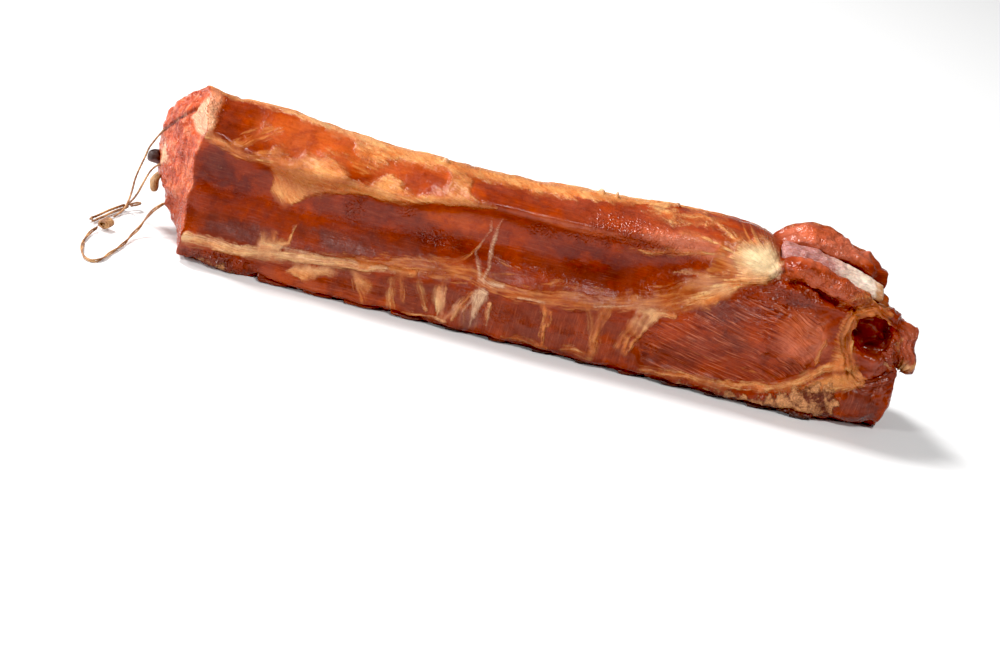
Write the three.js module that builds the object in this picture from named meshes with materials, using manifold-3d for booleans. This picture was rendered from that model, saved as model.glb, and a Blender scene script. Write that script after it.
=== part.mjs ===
// Smoked pork loin on the bone: a whole half loin, tied at its shoulder end with a loop of twine.
// Millimetres, +Z up. X runs along the loin from the tied end to the hip end, the hollow rib side
// faces -Y, and the sawn backbone side lies flat on z = 0 with its row of halved vertebrae.
import * as THREE from 'three';
import { mergeVertices } from 'three/addons/utils/BufferGeometryUtils.js';
import Module from 'manifold-3d';

const wasm = await Module();
wasm.setup();

// Driving dimensions
const TIED_END_X = -246;
const HIP_END_X = 263;
const FRONT_Y = -42;
const BACK_Y = 44;
const RIDGE_Y = 8;
const BASE_BACK_Y = 18;
const MEAT_EDGE_LIFT = 3.4;
const ROW_COUNT = 44;
const CAP_ROWS = 5;
const GAP = 0.35;

// Heights of the lines that run along the loin, as [x, z] where each changes direction
const RIDGE_Z = [[-250, 116], [-232, 112.5], [-186, 111], [-112, 106], [-67, 106], [5, 109], [63, 114],
  [110, 117], [150, 118], [175, 112], [205, 106], [240, 99], [275, 88]];
const LIP_Z = [[-250, 99], [-200, 86], [-141, 87], [-105, 86], [-49, 95], [37, 99], [107, 108], [150, 110],
  [185, 101], [225, 92], [275, 78]];
const SEAM_Z = [[-250, 24], [-162, 28], [-90, 32], [-33, 36], [23, 44], [66, 49], [85, 59], [109, 75],
  [135, 86], [160, 89], [212, 86], [240, 78], [275, 64]];
const GROOVE_Z = [[-250, 14], [-90, 19], [23, 27], [71, 30], [95, 22], [119, 19], [163, 20], [204, 29],
  [225, 36], [275, 44]];

// Depth of the rib hollow behind the rib-side edge, and how far the tenderloin swells in front of it
const HOLLOW_DEPTH = [[-250, 8], [-190, 12], [-100, 14], [0, 14], [70, 12], [110, 6], [140, 1], [170, 2],
  [275, 1]];
const LIP_INSET = [[-250, 0], [60, 0], [110, 2], [150, 7], [185, 10], [275, 12]];
const TENDERLOIN_SWELL = [[-250, 0], [55, 0], [85, 3.5], [125, 6.3], [165, 6.6],
  [195, 5], [217, 1], [275, 0]];
const GROOVE_DEPTH = [[-250, 0], [55, 0], [80, 1.5], [160, 3], [210, 3], [275, 2]];

// The meat's foot is set back over the neck muscle at the tied end
const FOOT_SETBACK = [[-250, 3], [-225, 6], [-200, 6], [-180, 1], [-165, 0], [275, 0]];

// The front line falls back towards the hip end, and the back narrows at both ends
const FRONT_RETREAT = [[-250, 0], [190, 0], [225, 3], [250, 8], [275, 14]];
const BACK_NARROWING = [[-250, 6], [-215, 1], [-150, 0], [150, 0], [210, 4], [275, 13]];

// Value at x of a smooth line through its [x, value] stations
function along(stations, x) {
  const last = stations.length - 1;
  const clamped = THREE.MathUtils.clamp(x, stations[0][0], stations[last][0]);
  let i = 0;
  while (i < last - 1 && clamped > stations[i + 1][0]) {
    i += 1;
  }
  const slope = (k) => {
    const before = stations[Math.max(k - 1, 0)];
    const after = stations[Math.min(k + 1, last)];
    return (after[1] - before[1]) / (after[0] - before[0]);
  };
  const span = stations[i + 1][0] - stations[i][0];
  const t = (clamped - stations[i][0]) / span;
  const rise = t * t * (3 - 2 * t);
  const start = span * slope(i) * t * (1 - t) * (1 - t);
  const end = span * slope(i + 1) * t * t * (1 - t);
  return stations[i][1] * (1 - rise) + stations[i + 1][1] * rise + start - end;
}

// Low lumps of cured muscle under the skin
function lumps(x, y, z) {
  return 0.55 * Math.sin(x / 16 + y / 21)
    + 0.4 * Math.sin(x / 8.7 - z / 12 + 1.7)
    + 0.35 * Math.sin((y + z) / 7.5 + x / 29);
}

// The closed mesh as a solid for joins and cuts, with its faces turned outwards
function toSolid(geometry) {
  const bare = new THREE.BufferGeometry();
  bare.setAttribute('position', geometry.getAttribute('position').clone());
  bare.setIndex(geometry.getIndex());
  const merged = mergeVertices(bare, 1e-4);
  const vertProperties = new Float32Array(merged.getAttribute('position').array);
  const triVerts = new Uint32Array(merged.getIndex().array);
  const solid = new wasm.Manifold(new wasm.Mesh({ numProp: 3, vertProperties, triVerts }));
  if (solid.volume() > 0) {
    return solid;
  }
  triVerts.reverse();
  return new wasm.Manifold(new wasm.Mesh({ numProp: 3, vertProperties, triVerts }));
}

function toGeometry(solid) {
  const mesh = solid.getMesh();
  const geometry = new THREE.BufferGeometry();
  geometry.setAttribute('position', new THREE.BufferAttribute(mesh.vertProperties, mesh.numProp));
  geometry.setIndex(new THREE.BufferAttribute(mesh.triVerts, 1));
  geometry.computeVertexNormals();
  return geometry;
}

const SMOKED_MEAT = new THREE.MeshStandardMaterial({ color: 0x9c4a20, roughness: 0.42, metalness: 0 });
const SAWN_BONE = new THREE.MeshStandardMaterial({ color: 0x6b4230, roughness: 0.7, metalness: 0 });
const PALE_RIB = new THREE.MeshStandardMaterial({ color: 0xc9aa92, roughness: 0.35, metalness: 0 });
const DARK_BONE = new THREE.MeshStandardMaterial({ color: 0x4a2f28, roughness: 0.6, metalness: 0 });
const TAN_BONE = new THREE.MeshStandardMaterial({ color: 0xa87c58, roughness: 0.55, metalness: 0 });
const TWINE = new THREE.MeshStandardMaterial({ color: 0xa9825a, roughness: 0.85, metalness: 0 });

const loin = new THREE.Group();

function addPiece(name, solid, material) {
  const mesh = new THREE.Mesh(toGeometry(solid), material);
  mesh.name = name;
  loin.add(mesh);
}

// The body of the loin: one cross-section outline after another along X

// Corners of the cross-section, [y, z], going up the rib side and down the back
function sectionCorners(x) {
  const ridge = along(RIDGE_Z, x);
  const lip = along(LIP_Z, x);
  const seam = along(SEAM_Z, x);
  const groove = along(GROOVE_Z, x);
  const hollow = along(HOLLOW_DEPTH, x);
  const swell = along(TENDERLOIN_SWELL, x);
  const crease = along(GROOVE_DEPTH, x);
  const inset = along(LIP_INSET, x);
  const front = FRONT_Y + along(FRONT_RETREAT, x);
  const back = BACK_Y - along(BACK_NARROWING, x);
  const edgeRise = along(FRONT_RETREAT, x) * 0.5;
  const setback = along(FOOT_SETBACK, x);
  return [
    [-12, -1.5],
    [front + 1 + setback, MEAT_EDGE_LIFT + edgeRise],
    [front - 1.5 + setback, groove * 0.55 + edgeRise * 0.4],
    [front + crease, groove],
    [front - swell, (groove + seam) / 2],
    [front + crease, seam],
    [front + hollow * 0.62 + 0.5, THREE.MathUtils.lerp(seam, lip, 0.2)],
    [front + hollow + 2 + inset * 0.15, THREE.MathUtils.lerp(seam, lip, 0.5)],
    [front + hollow * 0.7 + 4 + inset * 0.5, THREE.MathUtils.lerp(seam, lip, 0.8)],
    [front + 6.5 + inset, lip],
    [front + 11.5 + inset, lip + 5],
    [-14, (lip + ridge) / 2 + 3.5],
    [RIDGE_Y, ridge],
    [back - 13, ridge - 13],
    [back, ridge * 0.55],
    [back - 7, 21],
    [BASE_BACK_Y, -0.5],
  ];
}
const RIB_SIDE_CORNERS = 11;
const RIB_SIDE_STEPS = 4;
const BACK_STEPS = 3;

// The smooth closed outline through the corners, with closer points on the rib side
function sectionOutline(x) {
  const corners = sectionCorners(x).map(([y, z]) => new THREE.Vector3(0, y, z));
  const curve = new THREE.CatmullRomCurve3(corners, true, 'catmullrom', 0.5);
  const outline = [];
  corners.forEach((corner, k) => {
    const steps = k < RIB_SIDE_CORNERS ? RIB_SIDE_STEPS : BACK_STEPS;
    for (let j = 0; j < steps; j += 1) {
      outline.push(curve.getPoint((k + j / steps) / corners.length));
    }
  });
  return outline;
}

// How far the tied end's cut face slants out past its front edge
const TIED_FACE_SLANT = 30;
const TIED_SLANT_FULL_Y = 24;
const TIED_SLANT_BY_Z = [[0, 0], [6, 0.22], [22, 0.68], [40, 0.96], [60, 1], [85, 1.05], [100, 0.66],
  [110, 0.36], [119, 0.15]];

function tiedEndSlant(y, z) {
  const across = THREE.MathUtils.smoothstep(y, FRONT_Y + 2, TIED_SLANT_FULL_Y);
  return -TIED_FACE_SLANT * across * along(TIED_SLANT_BY_Z, z);
}

// The hip end leans in towards its top and towards the back
const HIP_BACK_SLANT = 9;
const HIP_SLANT_BY_Z = [[0, 9], [30, 12], [50, 7], [75, -1], [95, -9], [118, -14]];

function hipEndSlant(y, z) {
  return along(HIP_SLANT_BY_Z, z) - HIP_BACK_SLANT * THREE.MathUtils.smoothstep(y, 0, BACK_Y);
}

// How far in from each end its slant is felt
const SLANT_REACH = 62;

// Each end is closed by rings of the outline that shrink towards the middle of the section
const SECTION_CENTRE = new THREE.Vector2(0, 56);
const CAP_SCALES = [0.955, 0.8, 0.55, 0.28, 0];
const CAP_BULGE = 2.5;

function placeOnLoin(row, outline, k) {
  const lastBody = CAP_ROWS + ROW_COUNT - 1;
  const lastRow = lastBody + CAP_ROWS;
  const capStep = Math.max(CAP_ROWS - row, row - lastBody, 0);
  const scale = capStep === 0 ? 1 : CAP_SCALES[capStep - 1];
  const share = THREE.MathUtils.clamp((row - CAP_ROWS) / (ROW_COUNT - 1), 0, 1);
  let x = THREE.MathUtils.lerp(TIED_END_X, HIP_END_X, share);
  let y = SECTION_CENTRE.x + (outline[k].y - SECTION_CENTRE.x) * scale;
  let z = SECTION_CENTRE.y + (outline[k].z - SECTION_CENTRE.y) * scale;
  const lump = lumps(x, y, z) * Math.min(scale * 2, 1);
  const reach = Math.hypot(y - SECTION_CENTRE.x, z - SECTION_CENTRE.y) || 1;
  y += (y - SECTION_CENTRE.x) / reach * lump;
  z += (z - SECTION_CENTRE.y) / reach * lump;
  const bulge = CAP_BULGE * (1 - scale * scale) + (capStep > 0 ? lumps(y * 3, z, x + y) : 0);
  const tiedShare = 1 - THREE.MathUtils.smoothstep(x, TIED_END_X, TIED_END_X + SLANT_REACH);
  const hipShare = THREE.MathUtils.smoothstep(x, HIP_END_X - SLANT_REACH, HIP_END_X);
  x += tiedEndSlant(y, z) * tiedShare + hipEndSlant(y, z) * hipShare;
  x += row < CAP_ROWS ? -bulge : 0;
  x += row > lastRow - CAP_ROWS ? bulge : 0;
  return new THREE.Vector3(x, y, Math.max(z, 0));
}

// A ball whose rings are moved onto the outlines, its two poles being the middles of the end faces
function loinBody() {
  const rows = CAP_ROWS * 2 + ROW_COUNT - 1;
  const outlines = [];
  for (let row = 0; row <= rows; row += 1) {
    const share = THREE.MathUtils.clamp((row - CAP_ROWS) / (ROW_COUNT - 1), 0, 1);
    outlines.push(sectionOutline(THREE.MathUtils.lerp(TIED_END_X, HIP_END_X, share)));
  }
  const around = outlines[0].length;
  const ball = new THREE.SphereGeometry(1, around, rows);
  const position = ball.getAttribute('position');
  for (let i = 0; i < position.count; i += 1) {
    const row = Math.floor(i / (around + 1));
    const k = (i % (around + 1)) % around;
    const place = placeOnLoin(row, outlines[row], k);
    position.setXYZ(i, place.x, place.y, place.z);
  }
  return toSolid(ball);
}

// A rounded lump drawn out along a path: its cross-section is an oval with half sizes wide and high,
// wide measured along the across direction and high along the up direction
function sweptLump(shape) {
  const { path, wide, high, across, up, around = 12, rings = 10, blunt = 0.6, rough = 0 } = shape;
  const curve = new THREE.CatmullRomCurve3(path.map((p) => new THREE.Vector3(...p)));
  const acrossAxis = new THREE.Vector3(...across).normalize();
  const upAxis = new THREE.Vector3(...up).normalize();
  const ball = new THREE.SphereGeometry(1, around, rings);
  const position = ball.getAttribute('position');
  for (let i = 0; i < position.count; i += 1) {
    const ring = Math.floor(i / (around + 1));
    const angle = (i % (around + 1)) % around / around * Math.PI * 2;
    const share = (1 - Math.cos(ring / rings * Math.PI)) / 2;
    const girth = ring === 0 || ring === rings ? 0 : Math.sin(ring / rings * Math.PI) ** blunt;
    const place = curve.getPoint(share);
    const knobs = 1 + rough * lumps(place.x * 2.2, angle * 14, share * 60);
    place.addScaledVector(acrossAxis, Math.cos(angle) * wide * girth * knobs);
    place.addScaledVector(upAxis, Math.sin(angle) * high * girth * knobs);
    position.setXYZ(i, place.x, place.y, Math.max(place.z, 0));
  }
  return toSolid(ball);
}

const UP = [0, 0, 1];
const ACROSS_Y = [0, 1, 0];

// Meat that stands out at the hip end: the upper ridge, the roll under the rib plate and the torn flap
const UPPER_RIDGE = {
  path: [[164, 10, 107], [190, 11, 115.5], [217, 11, 112.5], [252, 10, 99]],
  wide: 18, high: 11.5, across: [0, 1, -0.1], up: UP, around: 14, blunt: 0.42, rough: 0.035,
};
const ROLL = {
  path: [[165, -27, 103], [180, -30, 107.5], [194, -31, 106], [209, -30.5, 102], [225, -28, 97],
    [250, -21, 87]],
  wide: 9.5, high: 9, across: ACROSS_Y, up: UP, around: 14, rings: 14, blunt: 0.42, rough: 0.1,
};
const CAVITY_RIM = {
  path: [[228, -26, 86], [246, -25, 89], [261, -20, 84], [270, -17, 68], [267, -16, 50]],
  wide: 10, high: 8, across: [0.3, 1, 0], up: [0.5, 0, 1], around: 12, blunt: 0.45, rough: 0.05,
};
const TORN_FLAP = {
  path: [[256, -19, 86], [270, -20, 77], [273, -20, 65], [282, -19, 47]],
  wide: 5, high: 9.5, across: ACROSS_Y, up: [1, 0, 0.5], around: 14, rings: 12, blunt: 0.42, rough: 0.13,
};

// The ragged neck muscle at the foot of the tied end
const NECK_MUSCLE = {
  path: [[-241, -33, 11], [-224, -34, 8.5], [-206, -34, 7], [-182, -30, 6.5]],
  wide: 9, high: 8.5, across: ACROSS_Y, up: UP, around: 14, rings: 12, blunt: 0.45, rough: 0.09,
};

// The split that runs down the cut face of the tied end from its top corner
const TOP_SPLIT = {
  path: [[-254, 2, 120], [-252.5, -8, 112], [-257, -6, 104], [-264.5, -3, 95], [-270, 2, 86.5],
    [-275.5, 9, 77.5], [-279, 17, 71]],
  wide: 1.3, high: 4, across: [-0.37, 0.73, 0.54], up: [-0.85, -0.5, 0.1],
  around: 8, rings: 12, blunt: 0.4,
};

// The hollow that the hip joint's fat leaves, open towards the rib side
const CAVITY = {
  path: [[246, -44, 73], [249, -30, 72], [253, -14, 70]],
  wide: 15.5, high: 17.5, across: [1, 0, 0.1], up: UP, around: 16, rings: 10, blunt: 0.42, rough: 0.04,
};

// The pale rib plate between the upper ridge and the roll
const PLATE = {
  path: [[167, -15, 113.5], [192, -16, 111], [216, -16, 107], [250, -14, 98.5]],
  wide: 11, high: 4, across: [0, 1, 0.6], up: [0, -0.6, 1], around: 12, rings: 10, blunt: 0.3,
};

// Two bone ends beside the cut face of the tied end
const DARK_BONE_END = {
  path: [[-270, 26, 46], [-279, 21, 49.5], [-286, 19, 49.5]],
  wide: 6, high: 5.2, across: ACROSS_Y, up: UP, around: 12, rings: 8, blunt: 0.5, rough: 0.05,
};
const PALE_BONE_END = {
  path: [[-272, 25, 40], [-277, 20, 33], [-275.5, 18, 24]],
  wide: 6, high: 3.6, across: ACROSS_Y, up: [1, 0, 0.2], around: 12, rings: 8, blunt: 0.5, rough: 0.05,
};

function grown(shape, by) {
  return { ...shape, wide: shape.wide + by, high: shape.high + by, path: lengthened(shape.path, by) };
}

// The path with its first and last points moved outwards
function lengthened(path, by) {
  const points = path.map((p) => new THREE.Vector3(...p));
  const first = points[0].clone().sub(points[1]).setLength(by);
  const last = points[points.length - 1].clone().sub(points[points.length - 2]).setLength(by);
  points[0].add(first);
  points[points.length - 1].add(last);
  return points.map((p) => p.toArray());
}

// Halved vertebrae along the front of the sawn side
const VERTEBRA_COUNT = 13;
const VERTEBRA_PITCH = 32;
const FIRST_VERTEBRA_X = -174;
const VERTEBRA = { length: 28, height: 15, front: -42.6, back: -18 };
const TOE = { run: 2.2, lift: 3.4, flat: 8, behind: 3.2 };
const VERTEBRA_ROUND = 3;
const VERTEBRA_LEAN = 6;
const SAW_STOCK = 60;

// Seen from the rib side: a toe on the floor at the left, then rising to the right
function vertebraSideOutline(grow) {
  const half = VERTEBRA.length / 2 + grow;
  const top = VERTEBRA.height + grow;
  const shape = new THREE.Shape();
  shape.moveTo(-half, TOE.lift - grow);
  shape.lineTo(-half + TOE.run, -grow);
  shape.lineTo(-half + TOE.run + TOE.flat, -grow);
  shape.quadraticCurveTo(half - TOE.flat, 1 - grow, half, TOE.behind - grow);
  shape.lineTo(half, top - VERTEBRA_ROUND);
  shape.quadraticCurveTo(half, top, half - VERTEBRA_ROUND, top);
  shape.lineTo(-half + VERTEBRA_ROUND, top);
  shape.quadraticCurveTo(-half, top, -half, top - VERTEBRA_ROUND);
  shape.closePath();
  return shape;
}

// Seen along the loin: upright at the front foot, then leaning back under the meat
function vertebraEndOutline(grow) {
  const shape = new THREE.Shape();
  shape.moveTo(VERTEBRA.front - grow, -1 - grow);
  shape.lineTo(VERTEBRA.back + grow, -1 - grow);
  shape.lineTo(VERTEBRA.back + grow, 9);
  shape.lineTo(VERTEBRA.back - 4 + grow, VERTEBRA.height + 1 + grow);
  shape.lineTo(VERTEBRA.front + VERTEBRA_LEAN - grow, VERTEBRA.height + 1 + grow);
  shape.lineTo(VERTEBRA.front + 2.5 - grow, 3.6 + grow);
  shape.lineTo(VERTEBRA.front - grow, 2.6 + grow);
  shape.closePath();
  return shape;
}

function vertebraSolid(x, grow) {
  const side = new THREE.ExtrudeGeometry(vertebraSideOutline(grow), {
    depth: SAW_STOCK, bevelEnabled: false, curveSegments: 3,
  });
  side.rotateX(Math.PI / 2);
  side.translate(x, 0, 0);
  const end = new THREE.ExtrudeGeometry(vertebraEndOutline(grow), {
    depth: SAW_STOCK, bevelEnabled: false, curveSegments: 3,
  });
  end.rotateY(Math.PI / 2);
  end.rotateX(Math.PI / 2);
  end.translate(x - SAW_STOCK / 2, 0, 0);
  return indexedSolid(side).intersect(indexedSolid(end));
}

function indexedSolid(geometry) {
  const bare = new THREE.BufferGeometry();
  bare.setAttribute('position', geometry.getAttribute('position'));
  return toSolid(mergeVertices(bare, 1e-4));
}

// Twine, as the points its middle follows from the cut face to the knot that lies on the floor
const LOOP_DIAMETER = 2.6;
const STRAND_DIAMETER = 1.6;
const LOOP_ROUTE = [[-259, 8, 24], [-265, 5, 22], [-268, 2, 20.3], [-271.5, -1.5, 17.3],
  [-274, -5, 13.6], [-276, -9, 9.8], [-278, -15, 6.2], [-281, -23, 3.4], [-283, -34, 1.8],
  [-286, -47, 1.4], [-290, -62, 1.4], [-293.5, -75, 1.4], [-298.5, -81.5, 1.4], [-304, -79, 1.4],
  [-308, -69, 1.4], [-310, -56, 1.4], [-310, -43, 1.4], [-308.5, -32, 1.9], [-305.5, -24.5, 3]];
const HIGH_ROUTE = [[-270, 18, 76], [-277, 16.5, 73], [-280.5, 17, 67.5], [-283.5, 18, 61],
  [-286, 20, 54.5], [-287.5, 23.5, 47], [-289, 26, 40], [-290.5, 27, 33], [-291.5, 26, 26],
  [-291.5, 23, 20.5], [-291.5, 17, 15.5], [-292, 10, 12], [-293, 3, 10], [-295, -4, 9],
  [-297.5, -10, 8]];
const LOW_ROUTE = [[-271, 12, 50], [-277, 12, 46], [-280.5, 12.5, 41], [-282.5, 13, 35.5], [-284, 14, 30],
  [-285.2, 16.5, 25.5], [-286.3, 19, 21], [-287.5, 21.5, 17], [-289, 23.5, 13], [-290.8, 25, 9.3],
  [-293, 26.3, 6]];
const KNOT = {
  path: [[-298.5, -12.5, 5.6], [-301, -18, 5], [-304, -24, 4.4]],
  wide: 5, high: 4.2, across: [1, -0.4, 0], up: UP, around: 12, rings: 8, blunt: 0.6, rough: 0.08,
};
const HANK = {
  path: [[-312, -13, 3.6], [-307, -1, 3.2], [-303, 10, 3.2], [-298, 21, 3.4], [-292.5, 30, 4.2],
    [-285, 37, 5.6]],
  wide: 4, high: 2.9, across: [1, -0.45, 0], up: UP, around: 12, rings: 12, blunt: 0.35, rough: 0.03,
};

function twineTube(route, diameter, steps) {
  const circle = new THREE.Shape();
  circle.absarc(0, 0, diameter / 2, 0, Math.PI * 2);
  const extrudePath = new THREE.CatmullRomCurve3(route.map((p) => new THREE.Vector3(...p)));
  const geometry = new THREE.ExtrudeGeometry(circle, {
    steps, extrudePath, curveSegments: 4, bevelEnabled: false,
  });
  return indexedSolid(geometry);
}

const twine = {
  twine_loop: { route: LOOP_ROUTE, diameter: LOOP_DIAMETER, steps: 34 },
  twine_high_strand: { route: HIGH_ROUTE, diameter: STRAND_DIAMETER, steps: 24 },
  twine_low_strand: { route: LOW_ROUTE, diameter: STRAND_DIAMETER, steps: 12 },
};
const twineGrooves = Object.values(twine).map(({ route, diameter, steps }) => (
  twineTube(lengthened(route, GAP), diameter + 2 * GAP, steps)
));

function carve(solid, cutters) {
  return cutters.reduce((rest, cutter) => rest.subtract(cutter), solid);
}

// Put together
const vertebraXs = [];
for (let k = 0; k < VERTEBRA_COUNT; k += 1) {
  vertebraXs.push(FIRST_VERTEBRA_X + k * VERTEBRA_PITCH + 1.2 * Math.sin(k * 2.4));
}

const standingMeat = [UPPER_RIDGE, ROLL, CAVITY_RIM, TORN_FLAP, NECK_MUSCLE];
const wholeMeat = standingMeat.reduce((whole, shape) => whole.add(sweptLump(shape)), loinBody());
const carvedMeat = carve(wholeMeat, [
  sweptLump(CAVITY),
  sweptLump(TOP_SPLIT),
  sweptLump(grown(PLATE, GAP)),
  sweptLump(grown(DARK_BONE_END, GAP)),
  sweptLump(grown(PALE_BONE_END, GAP)),
  ...vertebraXs.map((x) => vertebraSolid(x, GAP)),
  ...twineGrooves,
]);
addPiece('loin', carvedMeat, SMOKED_MEAT);

vertebraXs.forEach((x, k) => {
  const name = `vertebra_${String(k + 1).padStart(2, '0')}`;
  addPiece(name, vertebraSolid(x, 0), SAWN_BONE);
});
addPiece('rib_plate', sweptLump(PLATE), PALE_RIB);
addPiece('dark_bone_end', carve(sweptLump(DARK_BONE_END), twineGrooves), DARK_BONE);
addPiece('pale_bone_end', carve(sweptLump(PALE_BONE_END), [
  sweptLump(grown(DARK_BONE_END, GAP)),
  ...twineGrooves,
]), TAN_BONE);

Object.entries(twine).forEach(([name, { route, diameter, steps }]) => {
  addPiece(name, twineTube(route, diameter, steps), TWINE);
});
addPiece('twine_knot', carve(sweptLump(KNOT), twineGrooves), TWINE);
addPiece('twine_hank', carve(sweptLump(HANK), [
  sweptLump(grown(KNOT, GAP)),
  ...twineGrooves,
]), TWINE);

export default loin;
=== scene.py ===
import math
from itertools import product

import bpy
import numpy as np
from mathutils import Matrix, Vector


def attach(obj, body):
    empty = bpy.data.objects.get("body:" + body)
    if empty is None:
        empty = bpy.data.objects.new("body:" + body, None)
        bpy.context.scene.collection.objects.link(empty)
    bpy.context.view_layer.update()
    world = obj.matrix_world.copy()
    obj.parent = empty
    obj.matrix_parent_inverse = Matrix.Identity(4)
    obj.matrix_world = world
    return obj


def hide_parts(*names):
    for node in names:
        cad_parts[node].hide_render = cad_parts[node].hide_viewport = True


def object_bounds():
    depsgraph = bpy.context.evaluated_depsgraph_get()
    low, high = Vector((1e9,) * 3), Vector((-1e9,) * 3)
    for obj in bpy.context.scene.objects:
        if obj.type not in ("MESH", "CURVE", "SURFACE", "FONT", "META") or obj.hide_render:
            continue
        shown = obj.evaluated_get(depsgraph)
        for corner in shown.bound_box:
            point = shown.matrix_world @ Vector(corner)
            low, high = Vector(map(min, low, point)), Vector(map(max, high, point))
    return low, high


# Smoked pork loin on the bone, as it comes from the smokehouse: X runs along the loin from the
# tied shoulder end to the hip end, the hollow rib side faces -Y and the sawn backbone lies on z = 0.
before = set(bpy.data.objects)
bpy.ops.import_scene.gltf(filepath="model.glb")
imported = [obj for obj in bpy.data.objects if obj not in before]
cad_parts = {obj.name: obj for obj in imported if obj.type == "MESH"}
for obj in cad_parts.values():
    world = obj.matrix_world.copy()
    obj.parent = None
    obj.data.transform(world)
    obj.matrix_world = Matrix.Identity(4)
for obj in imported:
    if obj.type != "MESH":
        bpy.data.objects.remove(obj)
cad_low, cad_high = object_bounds()
scene = bpy.context.scene


# View and light
# A long lens looks down on the rib side, turned so that the loin runs downhill to the hip end.
# In a white room, two lamps hang high, behind the tied end and in front, and two stand low to the
# left, where the wet skin shines.
LENS_MM = 85
SENSOR_MM = 36
FIELD_WIDTH = 0.71
VIEW_AZIMUTH = math.radians(-5)
VIEW_ELEVATION = math.radians(22)
VIEW_ROLL = math.radians(16.2)
VIEW_TARGET = Vector((-0.013, -0.042, 0.015))
BLACK_LEVEL = (0.019, 0.018, 0.017)
ROOM_COLOUR = (1.0, 0.99, 0.98, 1)
ROOM_STRENGTH = 0.2

backwards = Vector((
    math.sin(VIEW_AZIMUTH) * math.cos(VIEW_ELEVATION),
    -math.cos(VIEW_AZIMUTH) * math.cos(VIEW_ELEVATION),
    math.sin(VIEW_ELEVATION),
))
level = Vector((math.cos(VIEW_AZIMUTH), math.sin(VIEW_AZIMUTH), 0))
upright = backwards.cross(level)
to_the_right = level * math.cos(VIEW_ROLL) + upright * math.sin(VIEW_ROLL)
upwards = upright * math.cos(VIEW_ROLL) - level * math.sin(VIEW_ROLL)
camera = bpy.data.objects.new("camera", bpy.data.cameras.new("camera"))
scene.collection.objects.link(camera)
camera.data.lens = LENS_MM
camera.data.sensor_width = SENSOR_MM
camera_place = Matrix((to_the_right, upwards, backwards)).transposed().to_4x4()
camera_place.translation = VIEW_TARGET + backwards * (LENS_MM / SENSOR_MM * FIELD_WIDTH)
camera.matrix_world = camera_place
scene.camera = camera

scene.view_settings.view_transform = "Standard"
scene.view_settings.use_curve_mapping = True
scene.view_settings.curve_mapping.black_level = BLACK_LEVEL
world = bpy.data.worlds.new("dim studio")
scene.world = world
world.use_nodes = True
world.node_tree.nodes["Background"].inputs["Color"].default_value = ROOM_COLOUR
world.node_tree.nodes["Background"].inputs["Strength"].default_value = ROOM_STRENGTH

LAMPS = {
    "key": {"place": (-1.9, 0.9, 3.0), "size": 0.8, "watts": 134},
    "front": {"place": (0.7, -2.0, 3.25), "size": 0.5, "watts": 74},
    "left": {"place": (-2.3, -1.7, 0.9), "size": 0.35, "watts": 40},
    "side": {"place": (-2.4, 0.3, 1.1), "size": 0.25, "watts": 34},
}
LOIN_MIDDLE = Vector((0, 0, 0.06))
for name, lamp in LAMPS.items():
    light = bpy.data.objects.new(name, bpy.data.lights.new(name, "AREA"))
    scene.collection.objects.link(light)
    light.data.size = lamp["size"]
    light.data.energy = lamp["watts"]
    light.location = lamp["place"]
    light.rotation_euler = (LOIN_MIDDLE - light.location).to_track_quat("-Z", "Y").to_euler()


# The meat
# Loin muscle with the ribs taken out, cured and smoked whole: dark glossy skin over the muscle,
# tan fat along the seams and over the back, and rough red cuts at both ends. It is one piece.
MEAT_FACE = 0.0011
MEAT_SMOOTHING = 5


def finely_faced(node, face, smoothing):
    """The mesh of a part of the frame with small even faces, its steps smoothed out."""
    copy = bpy.data.objects.new(node + "_copy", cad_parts[node].data.copy())
    scene.collection.objects.link(copy)
    remesh = copy.modifiers.new("small faces", "REMESH")
    remesh.mode = "VOXEL"
    remesh.voxel_size = face
    smooth = copy.modifiers.new("smooth", "SMOOTH")
    smooth.factor = 0.5
    smooth.iterations = smoothing
    mesh = bpy.data.meshes.new_from_object(copy.evaluated_get(bpy.context.evaluated_depsgraph_get()))
    bpy.data.objects.remove(copy)
    mesh.materials.clear()
    mesh.shade_smooth()
    return mesh


def places_and_facings(mesh):
    """The mesh's points in mm, and the way that each faces."""
    count = len(mesh.vertices)
    places = np.empty(count * 3)
    facings = np.empty(count * 3)
    mesh.vertices.foreach_get("co", places)
    mesh.vertices.foreach_get("normal", facings)
    return places.reshape(-1, 3) * 1000, facings.reshape(-1, 3)


def edge_ends(mesh):
    """The numbers of the two points that each edge joins."""
    ends = np.empty(len(mesh.edges) * 2, dtype=np.int64)
    mesh.edges.foreach_get("vertices", ends)
    return ends.reshape(-1, 2).T


def evened(mesh, values, rounds):
    """Values at the mesh's points, each averaged with its neighbours so many times."""
    first, second = edge_ends(mesh)
    count = len(mesh.vertices)
    neighbours = np.bincount(first, minlength=count) + np.bincount(second, minlength=count)
    for _ in range(rounds):
        total = (np.bincount(first, values[second], count)
                 + np.bincount(second, values[first], count))
        values = (values + total) / (1 + neighbours)
    return values


def step(values, low, high):
    """0 below low, 1 above high, and smooth in between."""
    share = np.clip((values - low) / (high - low), 0, 1)
    return share * share * (3 - 2 * share)


def between(values, rise, fall):
    """0 below the first range, 1 between the two and 0 above the second, smooth inside both."""
    return step(values, *rise) * (1 - step(values, *fall))


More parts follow.
